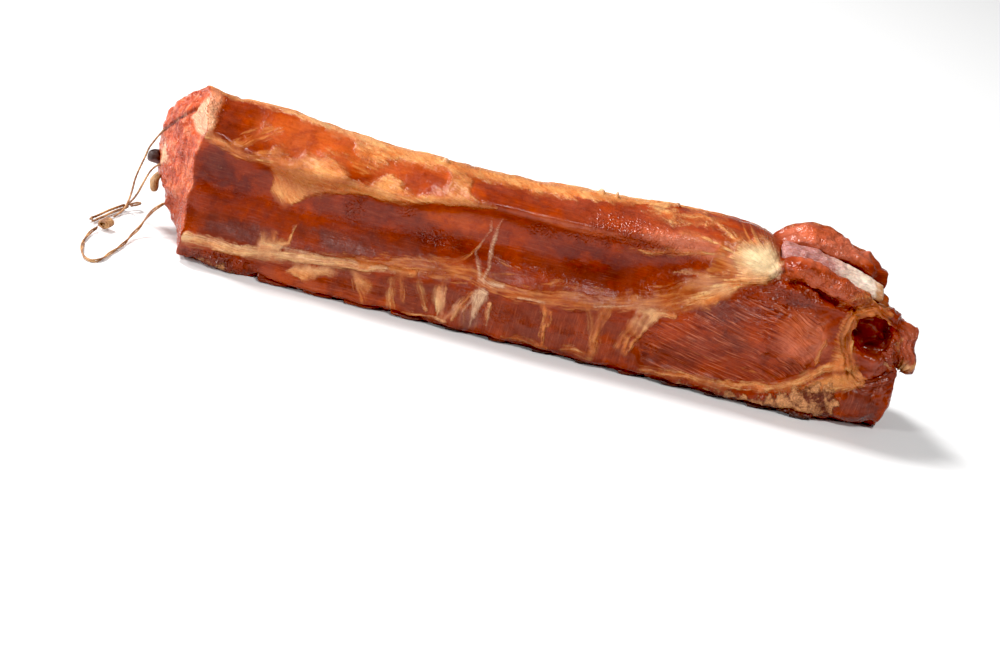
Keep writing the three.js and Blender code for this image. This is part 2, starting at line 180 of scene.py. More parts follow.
def clouds(places, size, seed):
    """Smooth random values from -1 to 1 that change over about size mm."""
    cell = places / size + seed * 7.31
    corner = np.floor(cell).astype(np.int64)
    part = cell - corner
    part = part * part * (3 - 2 * part)
    total = np.zeros(len(places))
    for ahead in product((0, 1), repeat=3):
        key = (corner + ahead) @ np.array([73856093, 19349663, 83492791])
        key = (key ^ (key >> 13)) * 1274126177 & 0xFFFFFFFF
        key = (key ^ (key >> 15)) * 668265263 & 0xFFFFFFFF
        weight = np.prod(np.where(ahead, part, 1 - part), axis=1)
        total += weight * ((key >> 8 & 0xFFFF) / 32767.5 - 1)
    return total


def billows(places, size, seed, layers=3):
    """Clouds with smaller clouds on them."""
    turn = np.array([[0.8, 0.6, 0], [-0.48, 0.64, 0.6], [0.36, -0.48, 0.8]])
    total = np.zeros(len(places))
    for layer in range(layers):
        total += clouds(places, size / 2 ** layer, seed + layer * 11) / 2 ** layer
        places = places @ turn
    return total / (2 - 0.5 ** (layers - 1))


def wrinkles(places, size, seed):
    """Rounded pads with sharp furrows between them, about size mm apart, from -1 to 1."""
    pads = np.abs(clouds(places, size, seed))
    small_pads = np.abs(clouds(places, size / 2, seed + 5))
    return 1.2 * pads + 0.8 * small_pads - 0.6


JUMP_MM = 4


def steady(mesh, ways):
    """1 where a direction changes smoothly from point to point, and 0 where it jumps."""
    first, second = edge_ends(mesh)
    jump = (np.linalg.norm(ways[first] - ways[second], axis=1) > JUMP_MM) * 1.0
    count = len(mesh.vertices)
    jumps = np.bincount(first, jump, count) + np.bincount(second, jump, count)
    return 1 - np.clip(4 * evened(mesh, np.minimum(jumps, 1), 3), 0, 1)


# Depths in mm at the start of a search, outside and inside, and the gap between the runs of two lines
FAR_OUTSIDE = -40.0
DEEP_INSIDE = 60.0
LINE_GAP = 40


def inside_lines(u, v, lines):
    """How deep each place is inside drawn lines in mm, and where it is along and across the
    nearest one. A line's points are (u, v, half width)."""
    depth = np.full(u.shape, FAR_OUTSIDE)
    along, across = u.copy(), v.copy()
    run = 0.0
    for line in lines:
        run += LINE_GAP
        for (u0, v0, w0), (u1, v1, w1) in zip(line, line[1:]):
            du, dv = u1 - u0, v1 - v0
            length = math.hypot(du, dv)
            t = np.clip(((u - u0) * du + (v - v0) * dv) / length ** 2, 0, 1)
            inside = w0 + (w1 - w0) * t - np.hypot(u - u0 - du * t, v - v0 - dv * t)
            nearer = inside > depth
            depth = np.where(nearer, inside, depth)
            along = np.where(nearer, run + t * length, along)
            across = np.where(nearer, ((v - v0) * du - (u - u0) * dv) / length, across)
            run += length
    return depth, along, across


def inside_patches(u, v, patches):
    """How deep each place is inside drawn outlines, in mm, and less than 0 outside them."""
    depth = np.full(u.shape, FAR_OUTSIDE)
    for outline in patches:
        away = np.full(u.shape, DEEP_INSIDE)
        within = np.zeros(u.shape, dtype=bool)
        for (u0, v0), (u1, v1) in zip(outline, outline[1:] + outline[:1]):
            du, dv = u1 - u0, v1 - v0
            t = np.clip(((u - u0) * du + (v - v0) * dv) / (du * du + dv * dv), 0, 1)
            away = np.minimum(away, np.hypot(u - u0 - du * t, v - v0 - dv * t))
            within ^= ((v0 > v) != (v1 > v)) & (u < du * (v - v0) / (dv or 1) + u0)
        depth = np.maximum(depth, np.where(within, away, -away))
    return depth


# What lies on the rib side, as places along the loin and heights in mm: lines with their half
# widths, and outlines of patches
FAT_LINES = [
    # seam between the eye of the loin and the backbone
    [(-250, 17, 2), (-241, 20, 4), (-223, 20, 3.6), (-205, 19, 4.4), (-190, 22, 4.6), (-175, 24, 3.6),
     (-157, 26, 3.4), (-139, 28, 3.6), (-120, 31, 3.2), (-100, 34, 2), (-80, 36, 1)],
    [(-191, 33, 1), (-189, 28, 3), (-180, 29, 4), (-172, 33, 1.4), (-171, 43, 0.4)],
    [(-183, 36, 0.5), (-182, 30, 2)], [(-248, 8, 1.2), (-247, 16, 2), (-246, 25, 0.6)],
    # arch over the dark panel at the tied end
    [(-250, 93, 3), (-237, 92, 3), (-228, 91, 2), (-216, 87, 0.8), (-204, 87, 0.8)],
    [(-204, 88, 0.8), (-190, 89, 2), (-176, 87, 2), (-166, 83, 1)],
    # between the vertebrae
    [(-94, 28, 1.2), (-93, 16, 2), (-90, 8, 2), (-89, 3, 1.2)],
    [(-77, 31, 0.6), (-71, 21, 0.8), (-66, 12, 1.4)],
    [(-62, 31, 1.4), (-60, 21, 2.4), (-57, 13, 2), (-56, 8, 0.8)],
    [(-38, 33, 0.3), (-42, 25, 1.2), (-45, 17, 1.8), (-46, 9, 0.8)],
    [(-82, 5, 0.4), (-64, 8, 1), (-50, 7, 0.8)],
    [(-29, 21, 0.5), (-28, 8, 0.3)], [(-23, 27, 0.8), (-22, 12, 0.5)],
    [(14, 36, 0.9), (18, 26, 0.7), (19, 17, 0.8), (20, 8, 0.3)], [(20, 34, 0.6), (21, 23, 0.3)],
    [(44, 42, 0.9), (50, 30, 0.9), (55, 14, 0.8)],
    [(56, 47, 1.3), (53, 37, 1.2), (54, 27, 1.2), (57, 12, 0.9)],
    [(-12, 7, 0.2), (6, 8, 0.5), (24, 7.5, 0.2)], [(34, 9, 0.3), (44, 10, 0.7), (56, 9, 0.4)],
    # fan at the tip of the tenderloin
    [(80, 50, 2.4), (97, 55, 2.8), (104, 54, 1.6)],
    [(90, 51, 3), (87, 43, 2), (83, 30, 1.6), (79, 16, 0.8)],
    [(84, 49, 2.2), (81, 40, 1.6), (78, 29, 1.2), (77, 17, 0.6)],
    [(80, 46, 1.4), (75, 33, 1), (71, 21, 0.5)],
    # fibres that run into the end of the eye muscle
    [(63, 114, 0.2), (88, 115, 0.7), (110, 117, 0.8), (124, 117, 1), (136, 114, 1.4)],
    [(92, 112, 0.2), (112, 111, 0.8), (134, 108, 1.4)],
    [(62, 90, 0.3), (84, 93, 0.9), (108, 101, 1), (126, 104, 1.4)],
    [(98, 82, 0.3), (118, 88, 1), (132, 94, 1.4)],
    # below the tenderloin, out to the hip end
    [(94, 8, 1), (111, 10, 1.4), (128, 12, 1.6), (148, 12, 1.8), (166, 14, 2.2), (180, 17, 2.4),
     (194, 20, 2.6), (207, 27, 3.4), (221, 41, 4), (237, 46, 4), (252, 43, 3)],
    [(204, 20, 1.2), (222, 24, 3), (238, 31, 3.4), (252, 38, 2)],
    # folded rim of the hollow
    [(214, 44, 1), (213, 54, 0.8), (213, 64, 0.4)],
    [(218, 92, 0.4), (222, 99, 1.2), (230, 101, 1.4), (242, 97, 1.2), (256, 93, 0.8)],
    [(233, 43, 3), (228, 54, 3.4), (227, 68, 3.2), (230, 82, 2.8), (239, 89, 2.2), (256, 87, 1)],
    [(237, 52, 1.4), (233, 62, 1.8), (232, 72, 1.6), (236, 81, 1.2)],
    [(267, 59, 0.8), (270, 64, 1), (269, 74, 0.7)],
    [(268, 52, 1), (274, 50, 3), (280, 52, 2.6), (283, 57, 1.4)],
]
FAT_PATCHES = [
    [(-199, 88), (-192, 73), (-192, 63), (-183, 56), (-175, 58), (-168, 66), (-155, 73), (-144, 76),
     (-128, 78), (-112, 80), (-92, 85), (-68, 89), (-46, 94), (-36, 97), (-56, 99), (-57, 106),
     (-73, 105), (-75, 97), (-84, 93), (-92, 90), (-103, 89), (-105, 93), (-113, 96), (-121, 92),
     (-129, 88), (-139, 89), (-148, 94), (-158, 97), (-165, 96), (-174, 97), (-180, 92)],
    [(-200, 92), (-198, 95), (-192, 95), (-188, 92), (-196, 90)],
    [(-145, 103), (-143, 106), (-133, 107), (-118, 104), (-110, 103), (-112, 100), (-126, 100),
     (-138, 101)],
    [(-168, 12), (-162, 20), (-140, 25), (-134, 20), (-143, 16), (-156, 11)],
    [(-124, 27), (-120, 18), (-109, 14), (-107, 20), (-116, 24)],
    # the end of the eye muscle, where the ribs' meat was cut away
    [(106, 63), (120, 78), (134, 90), (144, 99), (142, 110), (150, 114), (160, 111), (165, 106),
     (160, 100), (153, 93), (142, 84), (133, 74), (122, 66)],
    [(130, 104), (136, 113), (146, 117), (158, 116), (167, 109), (168, 101), (160, 93), (148, 90),
     (139, 97)],
    # between the two bands below the hollow
    [(200, 19), (217, 30), (229, 39), (243, 42), (253, 40), (239, 30), (222, 24)],
]
VEIL_LINES = [
    [(-130, 32, 3), (-98, 37, 6), (-80, 40, 7), (-60, 42, 7), (-44, 43, 6), (-28, 41, 5), (-10, 40, 6),
     (12, 42, 6.5), (35, 46, 7), (55, 49, 6), (75, 55, 6), (95, 63, 7), (115, 74, 8)],
    [(-81, 45, 2), (-66, 46, 3), (-52, 50, 3), (-46, 56, 2), (-41, 62, 1.6), (-37, 70, 1)],
    [(-29, 57, 0.6), (-22, 56, 1), (-10, 54, 0.6)], [(-30, 46, 1), (-20, 49, 1.3), (-6, 51, 0.8)],
    [(3, 48, 1), (21, 53, 2), (32, 54, 2), (40, 53, 1)], [(40, 53, 1), (58, 56, 1.6), (70, 61, 2)],
    [(-240, 90, 4), (-226, 89, 5), (-212, 87, 5), (-198, 88, 6), (-184, 88, 5)],
    [(-232, 92, 3), (-221, 94, 4), (-213, 97, 4), (-205, 101, 4), (-198, 104, 3)],
    [(77, 63, 2), (94, 71, 2.6), (108, 80, 3)], [(52, 84, 0.5), (64, 88, 1), (78, 90, 0.6)],
    [(-64, 65, 0.4), (-55, 67, 0.7), (-48, 67, 0.5)],
    [(-40, 20, 4), (-38, 8, 3)], [(-118, 20, 4), (-112, 8, 3)], [(60, 48, 4), (55, 30, 3), (56, 12, 4)],
    [(16, 34, 3), (19, 14, 2.5)],
    # thin smears down the backbone
    [(-60, 34, 3), (-57, 18, 4), (-52, 6, 2)], [(-36, 32, 2), (-34, 18, 3), (-32, 7, 2)],
    [(77, 42, 4), (74, 26, 3)],
    [(-36, 34, 2), (-41, 25, 3), (-47, 18, 3.4), (-51, 9, 2.4)],
    [(-88, 30, 3), (-84, 14, 2)], [(112, 34, 0.6), (150, 28, 1.2), (190, 26, 1)],
]
VEIL_PATCHES = [
    [(88, 56), (100, 74), (114, 88), (118, 100), (120, 112), (138, 120), (158, 118), (169, 109),
     (167, 99), (158, 92), (146, 84), (136, 74), (124, 64), (106, 56)],
    # folds round the hip-end hollow
    [(222, 42), (219, 56), (220, 70), (222, 84), (224, 96), (230, 102), (242, 98), (256, 95), (255, 87),
     (242, 88), (235, 82), (232, 72), (235, 60), (244, 51), (254, 51), (252, 44), (236, 46)],
    [(-168, 98), (-150, 98), (-134, 92), (-122, 95), (-112, 99), (-130, 101), (-160, 102)],
    [(-249, 96), (-250, 112), (-242, 110), (-238, 103), (-241, 96)],
    [(267, 49), (272, 58), (280, 56), (284, 50), (278, 47)],
]
CREAM_LINES = [
    [(-182, 29, 0.5), (-161, 30, 0.7), (-144, 30.5, 0.7), (-121, 32, 0.8)],
    [(-112, 32, 1.2), (-100, 34, 1.2)],
    [(-249, 19, 0.5), (-235, 22, 0.8), (-215, 22, 0.7), (-196, 22.5, 0.5)],
    [(-236, 17, 0.3), (-214, 17.5, 0.6), (-200, 17, 0.3)],
    [(-178, 24, 0.4), (-158, 27, 0.7), (-138, 28, 0.5)],
    [(-132, 29, 0.4), (-112, 30, 0.5), (-94, 33, 0.4)],
    [(-6, 37, 0.6), (13, 39.5, 0.8)], [(48, 46, 0.6), (62, 49.5, 0.9), (74, 53, 0.5)],
    # twisted sinew up the rib hollow, with its prongs, fork and the sliver below it
    [(-31, 87, 0.2), (-32.5, 80, 0.9), (-32, 70, 1.4), (-32, 57, 1.2), (-31, 50, 1), (-33, 42, 1.6)],
    [(-38, 86, 0), (-37, 80, 0.3), (-36.5, 75, 0.6)],
    [(-37, 74, 0.4), (-40, 65, 0.3), (-43, 58, 0.8), (-40, 51, 0.9), (-36, 44, 1.1)],
    [(-36, 41, 1.2), (-27, 41.5, 1.7), (-18, 42, 1.3)],
    [(-34, 32, 1.4), (-37, 26, 1.2), (-41, 18, 0.6)], [(-24, 27, 0.7), (-22, 17, 0.7), (-22, 11, 0.4)],
    [(-34, 20, 0.5), (-33, 8, 0.6)], [(163, 101, 1.6), (167, 104, 1.8), (167, 98, 1.4)],
]
CREAM_PATCHES = [
    [(-35, 37), (-30, 38), (-26, 36), (-25, 30), (-28, 24), (-30, 15), (-33, 14), (-35, 23), (-38, 30)],
]
GREY_PATCHES = [[(-43, 18), (-37, 21), (-28, 21), (-24, 12), (-29, 6), (-36, 5), (-41, 10)]]
CRUST_PATCHES = [
    [(176, 9), (190, 15), (204, 21), (218, 27), (229, 28), (238, 20), (237, 8), (230, 0), (170, 0)],
]
CRUST_LINES = [[(-228, 4, 1), (-205, 3, 1)], [(120, 4, 0.5), (160, 4, 3), (176, 5, 3)]]
# The rim of the hollow in the hip end, and what stands round it
HOLLOW_OUTLINE = [(236, 80), (241, 84), (252, 81), (263, 76), (268, 68), (269, 57), (264, 46),
                  (252, 43), (247, 46), (239, 58), (235, 70)]
DARK_FOLD_OUTLINE = [(158, 87), (170, 94), (186, 95), (200, 97), (209, 93), (216, 88), (206, 86),
                     (189, 87), (174, 81), (163, 81)]
TENDERLOIN_OUTLINE = [(84, 44), (98, 52), (106, 54), (129, 71), (148, 83), (181, 84), (200, 83),
                      (214, 78), (211, 63), (213, 46), (208, 30), (189, 21), (160, 13), (111, 10),
                      (90, 11), (84, 28)]
CREASE_LINES = [
    [(252, 39, 0.5), (262, 44, 0.8), (277, 48, 0.7)], [(176, 97, 0.5), (196, 98, 0.9), (214, 91, 0.9)],
    [(162, 96, 0.4), (170, 104, 0.9), (168, 112, 0.7)],
]
# The back: fat down to a wavy edge, with curled folds and bare glossy skin where it is thin
BACK_FAT_FOOT = 40
BACK_FOLDS = [
    [(-232, 60, 1.4), (-214, 52, 2.4), (-190, 55, 2.6), (-170, 49, 2.2), (-150, 54, 1.2)],
    [(-130, 47, 1.6), (-108, 54, 2.8), (-84, 50, 3), (-62, 56, 2.6), (-40, 51, 2.2), (-22, 55, 1)],
    [(-98, 70, 0.9), (-70, 76, 1.9), (-38, 72, 2.2), (-10, 77, 1.7), (14, 72, 0.8)],
    [(-4, 48, 1.4), (22, 54, 2.6), (50, 49, 3), (78, 54, 2.4), (98, 50, 1.2)],
    [(40, 80, 0.8), (70, 86, 1.7), (104, 82, 2), (134, 87, 1)],
    [(112, 52, 1.2), (140, 58, 2.4), (170, 53, 2.6), (200, 57, 2), (224, 52, 1)],
    [(-206, 84, 0.8), (-180, 90, 1.6), (-150, 86, 1.6), (-126, 90, 0.8)],
]
# Torn bits that stand up on the ridge: place along, place across, reach along
RIDGE_BITS = [(-78, 3, 4), (35, 6, 4), (46, 5, 2.5), (91, 9, 3)]
# Cuts on the tied end's face, as places across the loin and heights
TIED_FACE_SPLIT = [[(3, 119, 0.8), (-6, 112, 0.9), (-3, 104, 1.2), (-1, 95, 1.3), (3, 86, 1.3),
                    (10, 77, 1.1), (18, 70, 0.6)]]
TIED_FACE_PALE = [
    [(-2, 104), (-4, 113), (-14, 112), (-26, 108), (-36, 101), (-34, 92), (-20, 90), (-6, 96)],
    [(2, 62), (12, 66), (16, 56), (8, 50), (0, 54)],
]

# Colours of smoked muscle, as 0 to 255 for a screen
SMOKED = {
    "skin": (134, 43, 8), "deep": (100, 23, 2), "amber": (170, 64, 4), "plum": (110, 38, 18),
    "brick": (144, 54, 26), "rose_and_sheen": (214, 122, 90), "ember": (180, 80, 36), "raw": (184, 74, 38),
    "flesh": (242, 164, 124), "liver": (110, 50, 44), "bark": (126, 46, 16),
    "hollow": (148, 62, 38), "roll": (188, 98, 70), "char": (58, 32, 26),
}
# Soft patches of colour on the rib side: finish, place along, height, reach along, reach up, strength.
# The rose patches on the upper band are painted pinkish sheen, and on the tenderloin they are its paler
# tone.
RIB_SIDE_SHADES = [
    ("brick", 60, 112, 130, 15, 1), ("rose_and_sheen", 105, 105, 50, 10, 0.9), ("rose_and_sheen", 20, 97, 60, 5, 0.4),
    ("ember", -170, 103, 62, 15, 1), ("ember", -95, 100, 55, 14, 0.9), ("brick", -88, 96, 22, 10, 0.8),
    ("deep", -226, 68, 34, 26, 1), ("deep", -226, 100, 18, 6, 0.25), ("plum", -216, 32, 44, 11, 0.9),
    ("skin", -168, 60, 12, 30, 0.5), ("deep", -118, 62, 44, 16, 0.35), ("plum", -140, 42, 50, 8, 0.8),
    ("amber", -62, 78, 34, 12, 1), ("deep", -66, 56, 40, 10, 0.8), ("deep", 40, 72, 34, 16, 0.9),
    ("plum", 30, 60, 40, 7, 0.5), ("plum", -95, 50, 30, 8, 0.6), ("deep", 90, 88, 30, 12, 0.3),
    ("brick", 132, 92, 14, 12, 0.5), ("bark", -30, 20, 210, 18, 0.9), ("bark", 60, 26, 60, 18, 0.7),
    ("ember", -160, 8, 34, 9, 0.5), ("ember", -110, 7, 30, 8, 0.4), ("brick", 150, 46, 76, 34, 1),
    ("flesh", -247, 106, 8, 14, 0.9), ("bark", 148, 48, 24, 16, 0.7), ("rose_and_sheen", 198, 60, 26, 28, 0.65),
    ("liver", 132, 66, 30, 12, 0.7), ("liver", 180, 88, 26, 7, 1),
    ("brick", 205, 120, 60, 10, 1), ("bark", 246, 22, 30, 24, 0.9), ("liver", 262, 22, 24, 28, 0.5),
    ("plum", -218, 6, 36, 10, 1), ("brick", 274, 66, 14, 26, 0.8), ("roll", 200, 103, 46, 10, 0.75),
    ("roll", 205, 120, 60, 10, 1), ("roll", 276, 72, 12, 22, 0.8), ("char", 40, -3, 130, 7, 0.8),
    ("char", 175, -3, 120, 11, 1), ("hollow", 267, 62, 9, 20, 0.8),
]
# Where fat and thin skins are creamy, and where a painted highlight lies on them at the end of the eye
# muscle and along the top of the fat cap: place along, height, reach along, reach up, strength
PALE_AND_HIGHLIGHT_SHADES = [
    (154, 107, 20, 11, 0.9), (-158, 92, 20, 8, 0.4), (-66, 98, 22, 8, 0.15), (166, 101, 8, 8, 0.8),
    (-245, 18, 12, 8, 0.4), (120, 82, 30, 9, 0.3), (-247, 104, 10, 12, 0.8), (-180, 24, 90, 12, 0.35),
    (84, 46, 18, 24, 0.35), (-56, 18, 18, 20, 0.4), (-140, 112, 100, 10, 0.25), (148, 104, 26, 15, 0.4),
    (-170, 84, 60, 26, -0.6), (-60, 98, 40, 16, -0.6), (272, 52, 14, 10, 0.4), (60, 34, 50, 16, -0.25),
    (178, 92, 26, 5, -0.4), (-5, 41, 20, 6, -0.8), (228, 64, 8, 16, -0.6),
]
# Where the skin is crackled and glints: place along, height, reach along, reach up, strength
RUGGED_SHADES = [
    (-133, 66, 12, 14, 0.8), (-98, 75, 9, 8, 0.8), (-72, 60, 22, 9, 0.6), (-2, 86, 18, 9, 0.8),
    (70, 100, 60, 16, 1), (36, 90, 30, 10, 0.7), (150, 84, 20, 8, 1), (205, 100, 60, 18, 0.9),
    (-246, 104, 12, 16, 1), (205, 122, 50, 8, 0.6), (268, 64, 18, 26, 0.8), (120, 62, 40, 14, 0.5),
    (-216, 8, 36, 10, 1), (165, 102, 10, 10, 0.7), (-30, 24, 30, 20, 0.5), (178, 86, 34, 10, 1),
]


def shaded(colour, name, weight):
    """The colour with a share of a named finish laid over it."""
    return colour + (np.array(SMOKED[name]) - colour) * weight[:, None]


def linear(colour):
    """Colours given as 0 to 255 for a screen, as amounts of light."""
    share = np.asarray(colour, dtype=float) / 255
    return np.where(share <= 0.04045, share / 12.92, ((share + 0.055) / 1.055) ** 2.4)


def strands(along, across, length, width, seed):
    """Smooth random values from -1 to 1 that are drawn out along the fibres."""
    squeezed = np.stack([along / length, across / width, np.full(along.shape, seed)], axis=1)
    return clouds(squeezed, 1, seed)


def spot(u, v, place, height, reach, rise, core):
    """1 in the core of a soft round patch, and 0 outside it."""
    return 1 - step(np.hypot((u - place) / reach, (v - height) / rise), core, 1)


# How far the drawn lines and patches wander from their places along, up and across, in mm
WANDER = (2.6, 1.7, 2)
# The depth inside a finish where there is none of it
NOT_HERE = -12.0
# Where the fat of the back begins on the ridge: places along the loin, and places across it
CAP_EDGE = ([-250, -235, -190, -60, 0, 40, 63, 88, 110, 150, 280],
            [10, 13, 9, -6, -6, -3, 3, 10, 16, 22, 24])
# Top of the thin meat over the backbone: places along the loin, and heights
CHINE_TOP = ([-250, -90, 23, 80], [18, 30, 36, 44])
# Where the fibres of the eye muscle run together, as place along and height
EYE_TIP = (172, 100)


def meat_marks(mesh):
    """What lies where on the meat: for each point a colour, depths inside each finish, and weights."""
    places, facings = places_and_facings(mesh)
    facings = np.stack([evened(mesh, facings[:, k], 8) for k in range(3)], axis=1)
    facings /= np.linalg.norm(facings, axis=1)[:, None]
    x, y, z = places.T
    count = len(x)
    drift = np.stack([billows(places, 16, 3 + k, 3) for k in range(3)], axis=1)
    u, v, w = (place + reach * way for place, reach, way in zip((x, z, y), WANDER, drift.T))
    mottle = billows(places, 9, 21, 3)

    # The sides, each from 0 to 1
    tied = step(-facings[:, 0], 0.42, 0.62) * step(-x, 236, 243)
    hip = step(facings[:, 0], 0.5, 0.75) * step(x, 248, 258)
    under = step(-facings[:, 2], 0.75, 0.95) * step(-z, -6, -3)
    back = step(y, np.where(z < 60, 2, 12), np.where(z < 60, 6, 18))
    back = back * (1 - tied) * (1 - hip) * (1 - under)
    rib_side = (1 - tied) * (1 - hip) * (1 - back) * (1 - under)

    def on(side, depth):
        """The depth of something that lies on one side only."""
        here = step(side, 0.3, 0.7)
        return depth * here + NOT_HERE * (1 - here)

    hollow = on(rib_side, inside_patches(u, v, [HOLLOW_OUTLINE]))
    in_hollow = step(hollow, -1, 3)
    fold = on(rib_side, inside_patches(u, v, [DARK_FOLD_OUTLINE]))
    tenderloin = on(rib_side, inside_patches(u, v, [TENDERLOIN_OUTLINE]))
    crease = on(rib_side, inside_lines(u, v, CREASE_LINES)[0])

    # Fat and what lies over it
    fat, fat_along, fat_across = inside_lines(u, v, FAT_LINES)
    patches = inside_patches(u, v, FAT_PATCHES)
    veil, veil_along, veil_across = inside_lines(u, v, VEIL_LINES)
    veil_patches = inside_patches(u, v, VEIL_PATCHES)
    near_line = np.maximum(fat + 3, veil)
    lined = (near_line > np.maximum(patches, veil_patches)) & (near_line > -4)
    along = np.where(fat + 3 > veil, fat_along, veil_along)
    across = np.where(fat + 3 > veil, fat_across, veil_across)
    eye_share = between(u, (92, 110), (168, 175)) * step(v, 56, 66) * rib_side
    eye_share = eye_share * (1 - step(tenderloin, -5, -1))
    eye_end = eye_share > 0.04
    slope = -0.14 - 0.8 * (1 - step(x, -186, -160)) * (1 - step(z, 76, 84))
    patch_along = (x + 175) * np.cos(slope) + (z - 65) * np.sin(slope)
    patch_across = (z - 65) * np.cos(slope) - (x + 175) * np.sin(slope)
    from_tip, above_tip = x - EYE_TIP[0], z - EYE_TIP[1]
    eye_along, eye_across = np.hypot(from_tip, above_tip), np.arctan2(above_tip, -from_tip) * 40
    along = np.where(lined, along, np.where(eye_end, eye_along, patch_along))
    across = np.where(lined, across, np.where(eye_end, eye_across, patch_across))
    streaky = np.where(lined, 1.0, 0.6 + 0.4 * eye_share)
    fat = np.maximum(fat, patches) - 8 * in_hollow
    fat = on(rib_side, np.minimum(fat, 6))
    veil = on(rib_side, np.minimum(np.maximum(veil, veil_patches), 7) - 10 * in_hollow)

    foot = BACK_FAT_FOOT + 9 * billows(np.stack([x, 0 * x, 0 * x], axis=1), 46, 91, 3)
    thin = billows(np.stack([x / 2.6, 0 * y, z], axis=1), 19, 95, 3) + 0.25 * mottle
    bare = back * step(z, 52, 66) * step(thin, 0.02, 0.6)
    on_ridge = 0.5 * (w - np.interp(x, *CAP_EDGE)) + 2.5 + 1.6 * mottle
    cap = np.minimum(on(step(y, 2, 6) + step(z, 60, 66), v - foot), np.where(z > 60, on_ridge, 20))
    cap = np.minimum(cap, 9) - 11 * bare
    fat = np.maximum(fat, cap * (1 - tied) * (1 - hip) * (1 - under)
                     + NOT_HERE * (tied + hip + under))
    fat = np.maximum(fat, on(hip, np.minimum(y - 30 + 3 * drift[:, 0], z - 30)))
    fat = np.maximum(fat, on(under, 2.2 - np.abs(w + 15)))

    folds = on(back, inside_lines(u, v, BACK_FOLDS)[0])
    cream = np.maximum(inside_lines(x + drift[:, 0], z + drift[:, 1], CREAM_LINES)[0],
                       inside_patches(u, v, CREAM_PATCHES))
    cream = np.maximum(on(rib_side, cream), on(tied, inside_patches(w, v, TIED_FACE_PALE)))
    cream = np.maximum(cream, folds - 0.6)
    grey = np.maximum(on(rib_side, inside_patches(u, v, GREY_PATCHES)), on(under, 7 - np.abs(w + 6)))
    crust = np.maximum(inside_patches(u, v, CRUST_PATCHES), inside_lines(u, v, CRUST_LINES)[0])
    crust = on(rib_side, crust)
    split = on(tied, inside_lines(y + drift[:, 0], z + drift[:, 1], TIED_FACE_SPLIT)[0])
    bits = np.zeros(count)
    for place, depth_in, reach in RIDGE_BITS:
        bit = spot(x + drift[:, 0], y, place, depth_in, reach, 3, 0.2)
        bits = np.maximum(bits, bit * step(z, 88, 96))
    cream = np.maximum(cream, 3 * bits - 1.4)
    # Creamy fat, with painted highlight at the end of the eye muscle and along the top of the fat cap
    pale = np.zeros(count)
    for *where, strength in PALE_AND_HIGHLIGHT_SHADES:
        pale = pale + strength * spot(u, v, *where, 0.3) * (1 - back)
    pale = pale + back * 1.1 * billows(np.stack([x / 2, y, z], axis=1), 24, 97, 3)

    colour = np.tile(np.array(SMOKED["skin"], dtype=float), (count, 1))
    for name, *where, strength in RIB_SIDE_SHADES:
        colour = shaded(colour, name, strength * spot(u, v, *where, 0.45) * rib_side)
    for name, share in (
        ("brick", back * step(mottle, -0.2, 0.5) * 0.5),
        ("liver", back * (1 - step(v, 24, 44)) * 0.75),
        ("raw", tied),
        ("flesh", tied * step(mottle, -0.1, 0.4) * 0.35),
        ("brick", tied * step(-mottle, 0.2, 0.6) * 0.6),
        ("brick", tied * (1 - step(z, 8, 56)) * 0.9),
        ("brick", hip * 0.8),
        ("liver", hip * step(mottle, 0, 0.6) * 0.4),
        ("bark", under * 0.8),
        ("brick", step(fold, -1.5, 1.5) * 0.6),
        ("hollow", in_hollow),
        # Painted shade: the cuts in the tied face and the creases at the hip end are painted dark plum,
        # besides being sunk into the meat
        ("plum", step(np.maximum(split, crease), -0.8, 0.6)),
    ):
        colour = shaded(colour, name, share)

    # Muscle fibres, as places along and across them
    tender = step(tenderloin, -1, 2)
    lean = math.radians(-12) - 0.25 * step(x, 150, 210)
    fibre_along = np.where(tender > 0.5, (x - 180) * np.cos(lean) + (z - 50) * np.sin(lean), x)
    fibre_across = np.where(tender > 0.5, (180 - x) * np.sin(lean) + (z - 50) * np.cos(lean),
                            np.where(y > 20, z, z + y * 0.4))
    chine = (rib_side > 0.5) & (v < np.interp(x, *CHINE_TOP)) & (tender < 0.5)
    upright_fibres = chine & (x > -72)
    fibre_along, fibre_across = (np.where(upright_fibres, fibre_across, fibre_along),
                                 np.where(upright_fibres, fibre_along, fibre_across))
    flow = np.stack([along, across], axis=1)
    fibre = np.stack([fibre_along, fibre_across], axis=1)
    streaky = streaky * steady(mesh, flow)
    unbroken = steady(mesh, fibre)
    even = np.maximum(np.maximum(tender, 0.15 * chine), np.maximum(back, hip))
    even = unbroken * (0.3 + 0.7 * even)
    cut = np.maximum(tied * step(z, 5, 60), 0.4 * hip)
    wet = (0.8 * rib_side + 0.5 * back + tied + 0.4 * hip) * (1 - step(crust, -1, 1))
    dry = between(v, (16, 30), (46, 62)) * between(x, (-246, -236), (70, 110))
    wet = wet - 1.4 * rib_side * dry
    rugged = np.maximum(tied, np.maximum(0.6 * hip, 0.7 * step(crust, -1, 1)))
    for *where, strength in RUGGED_SHADES:
        rugged = np.maximum(rugged, strength * spot(u, v, *where, 0.4) * rib_side)
    grain = np.maximum(np.maximum(0.7 * tender, 0.2 * chine), 0.1)
    grain = grain * (0.6 + 0.8 * step(mottle, -0.3, 0.4)) * unbroken
    return {
        "places": places, "facings": facings, "drift": drift, "colour": linear(colour), "fat": fat,
        "veil": veil, "cream": cream, "grey": grey, "crust": crust, "pale": pale, "wet": wet,
        "rugged": rugged, "streaky": streaky, "grain": grain, "even": even, "cut": cut,
        "flow": flow, "fibre": fibre, "split": split, "crease": crease, "folds": folds, "bits": bits,
        "tied": tied, "hip": hip, "back": back, "rib_side": rib_side, "hollow": hollow,
        "dark_fold": fold, "tenderloin": tenderloin, "chine": chine * 1.0,
    }


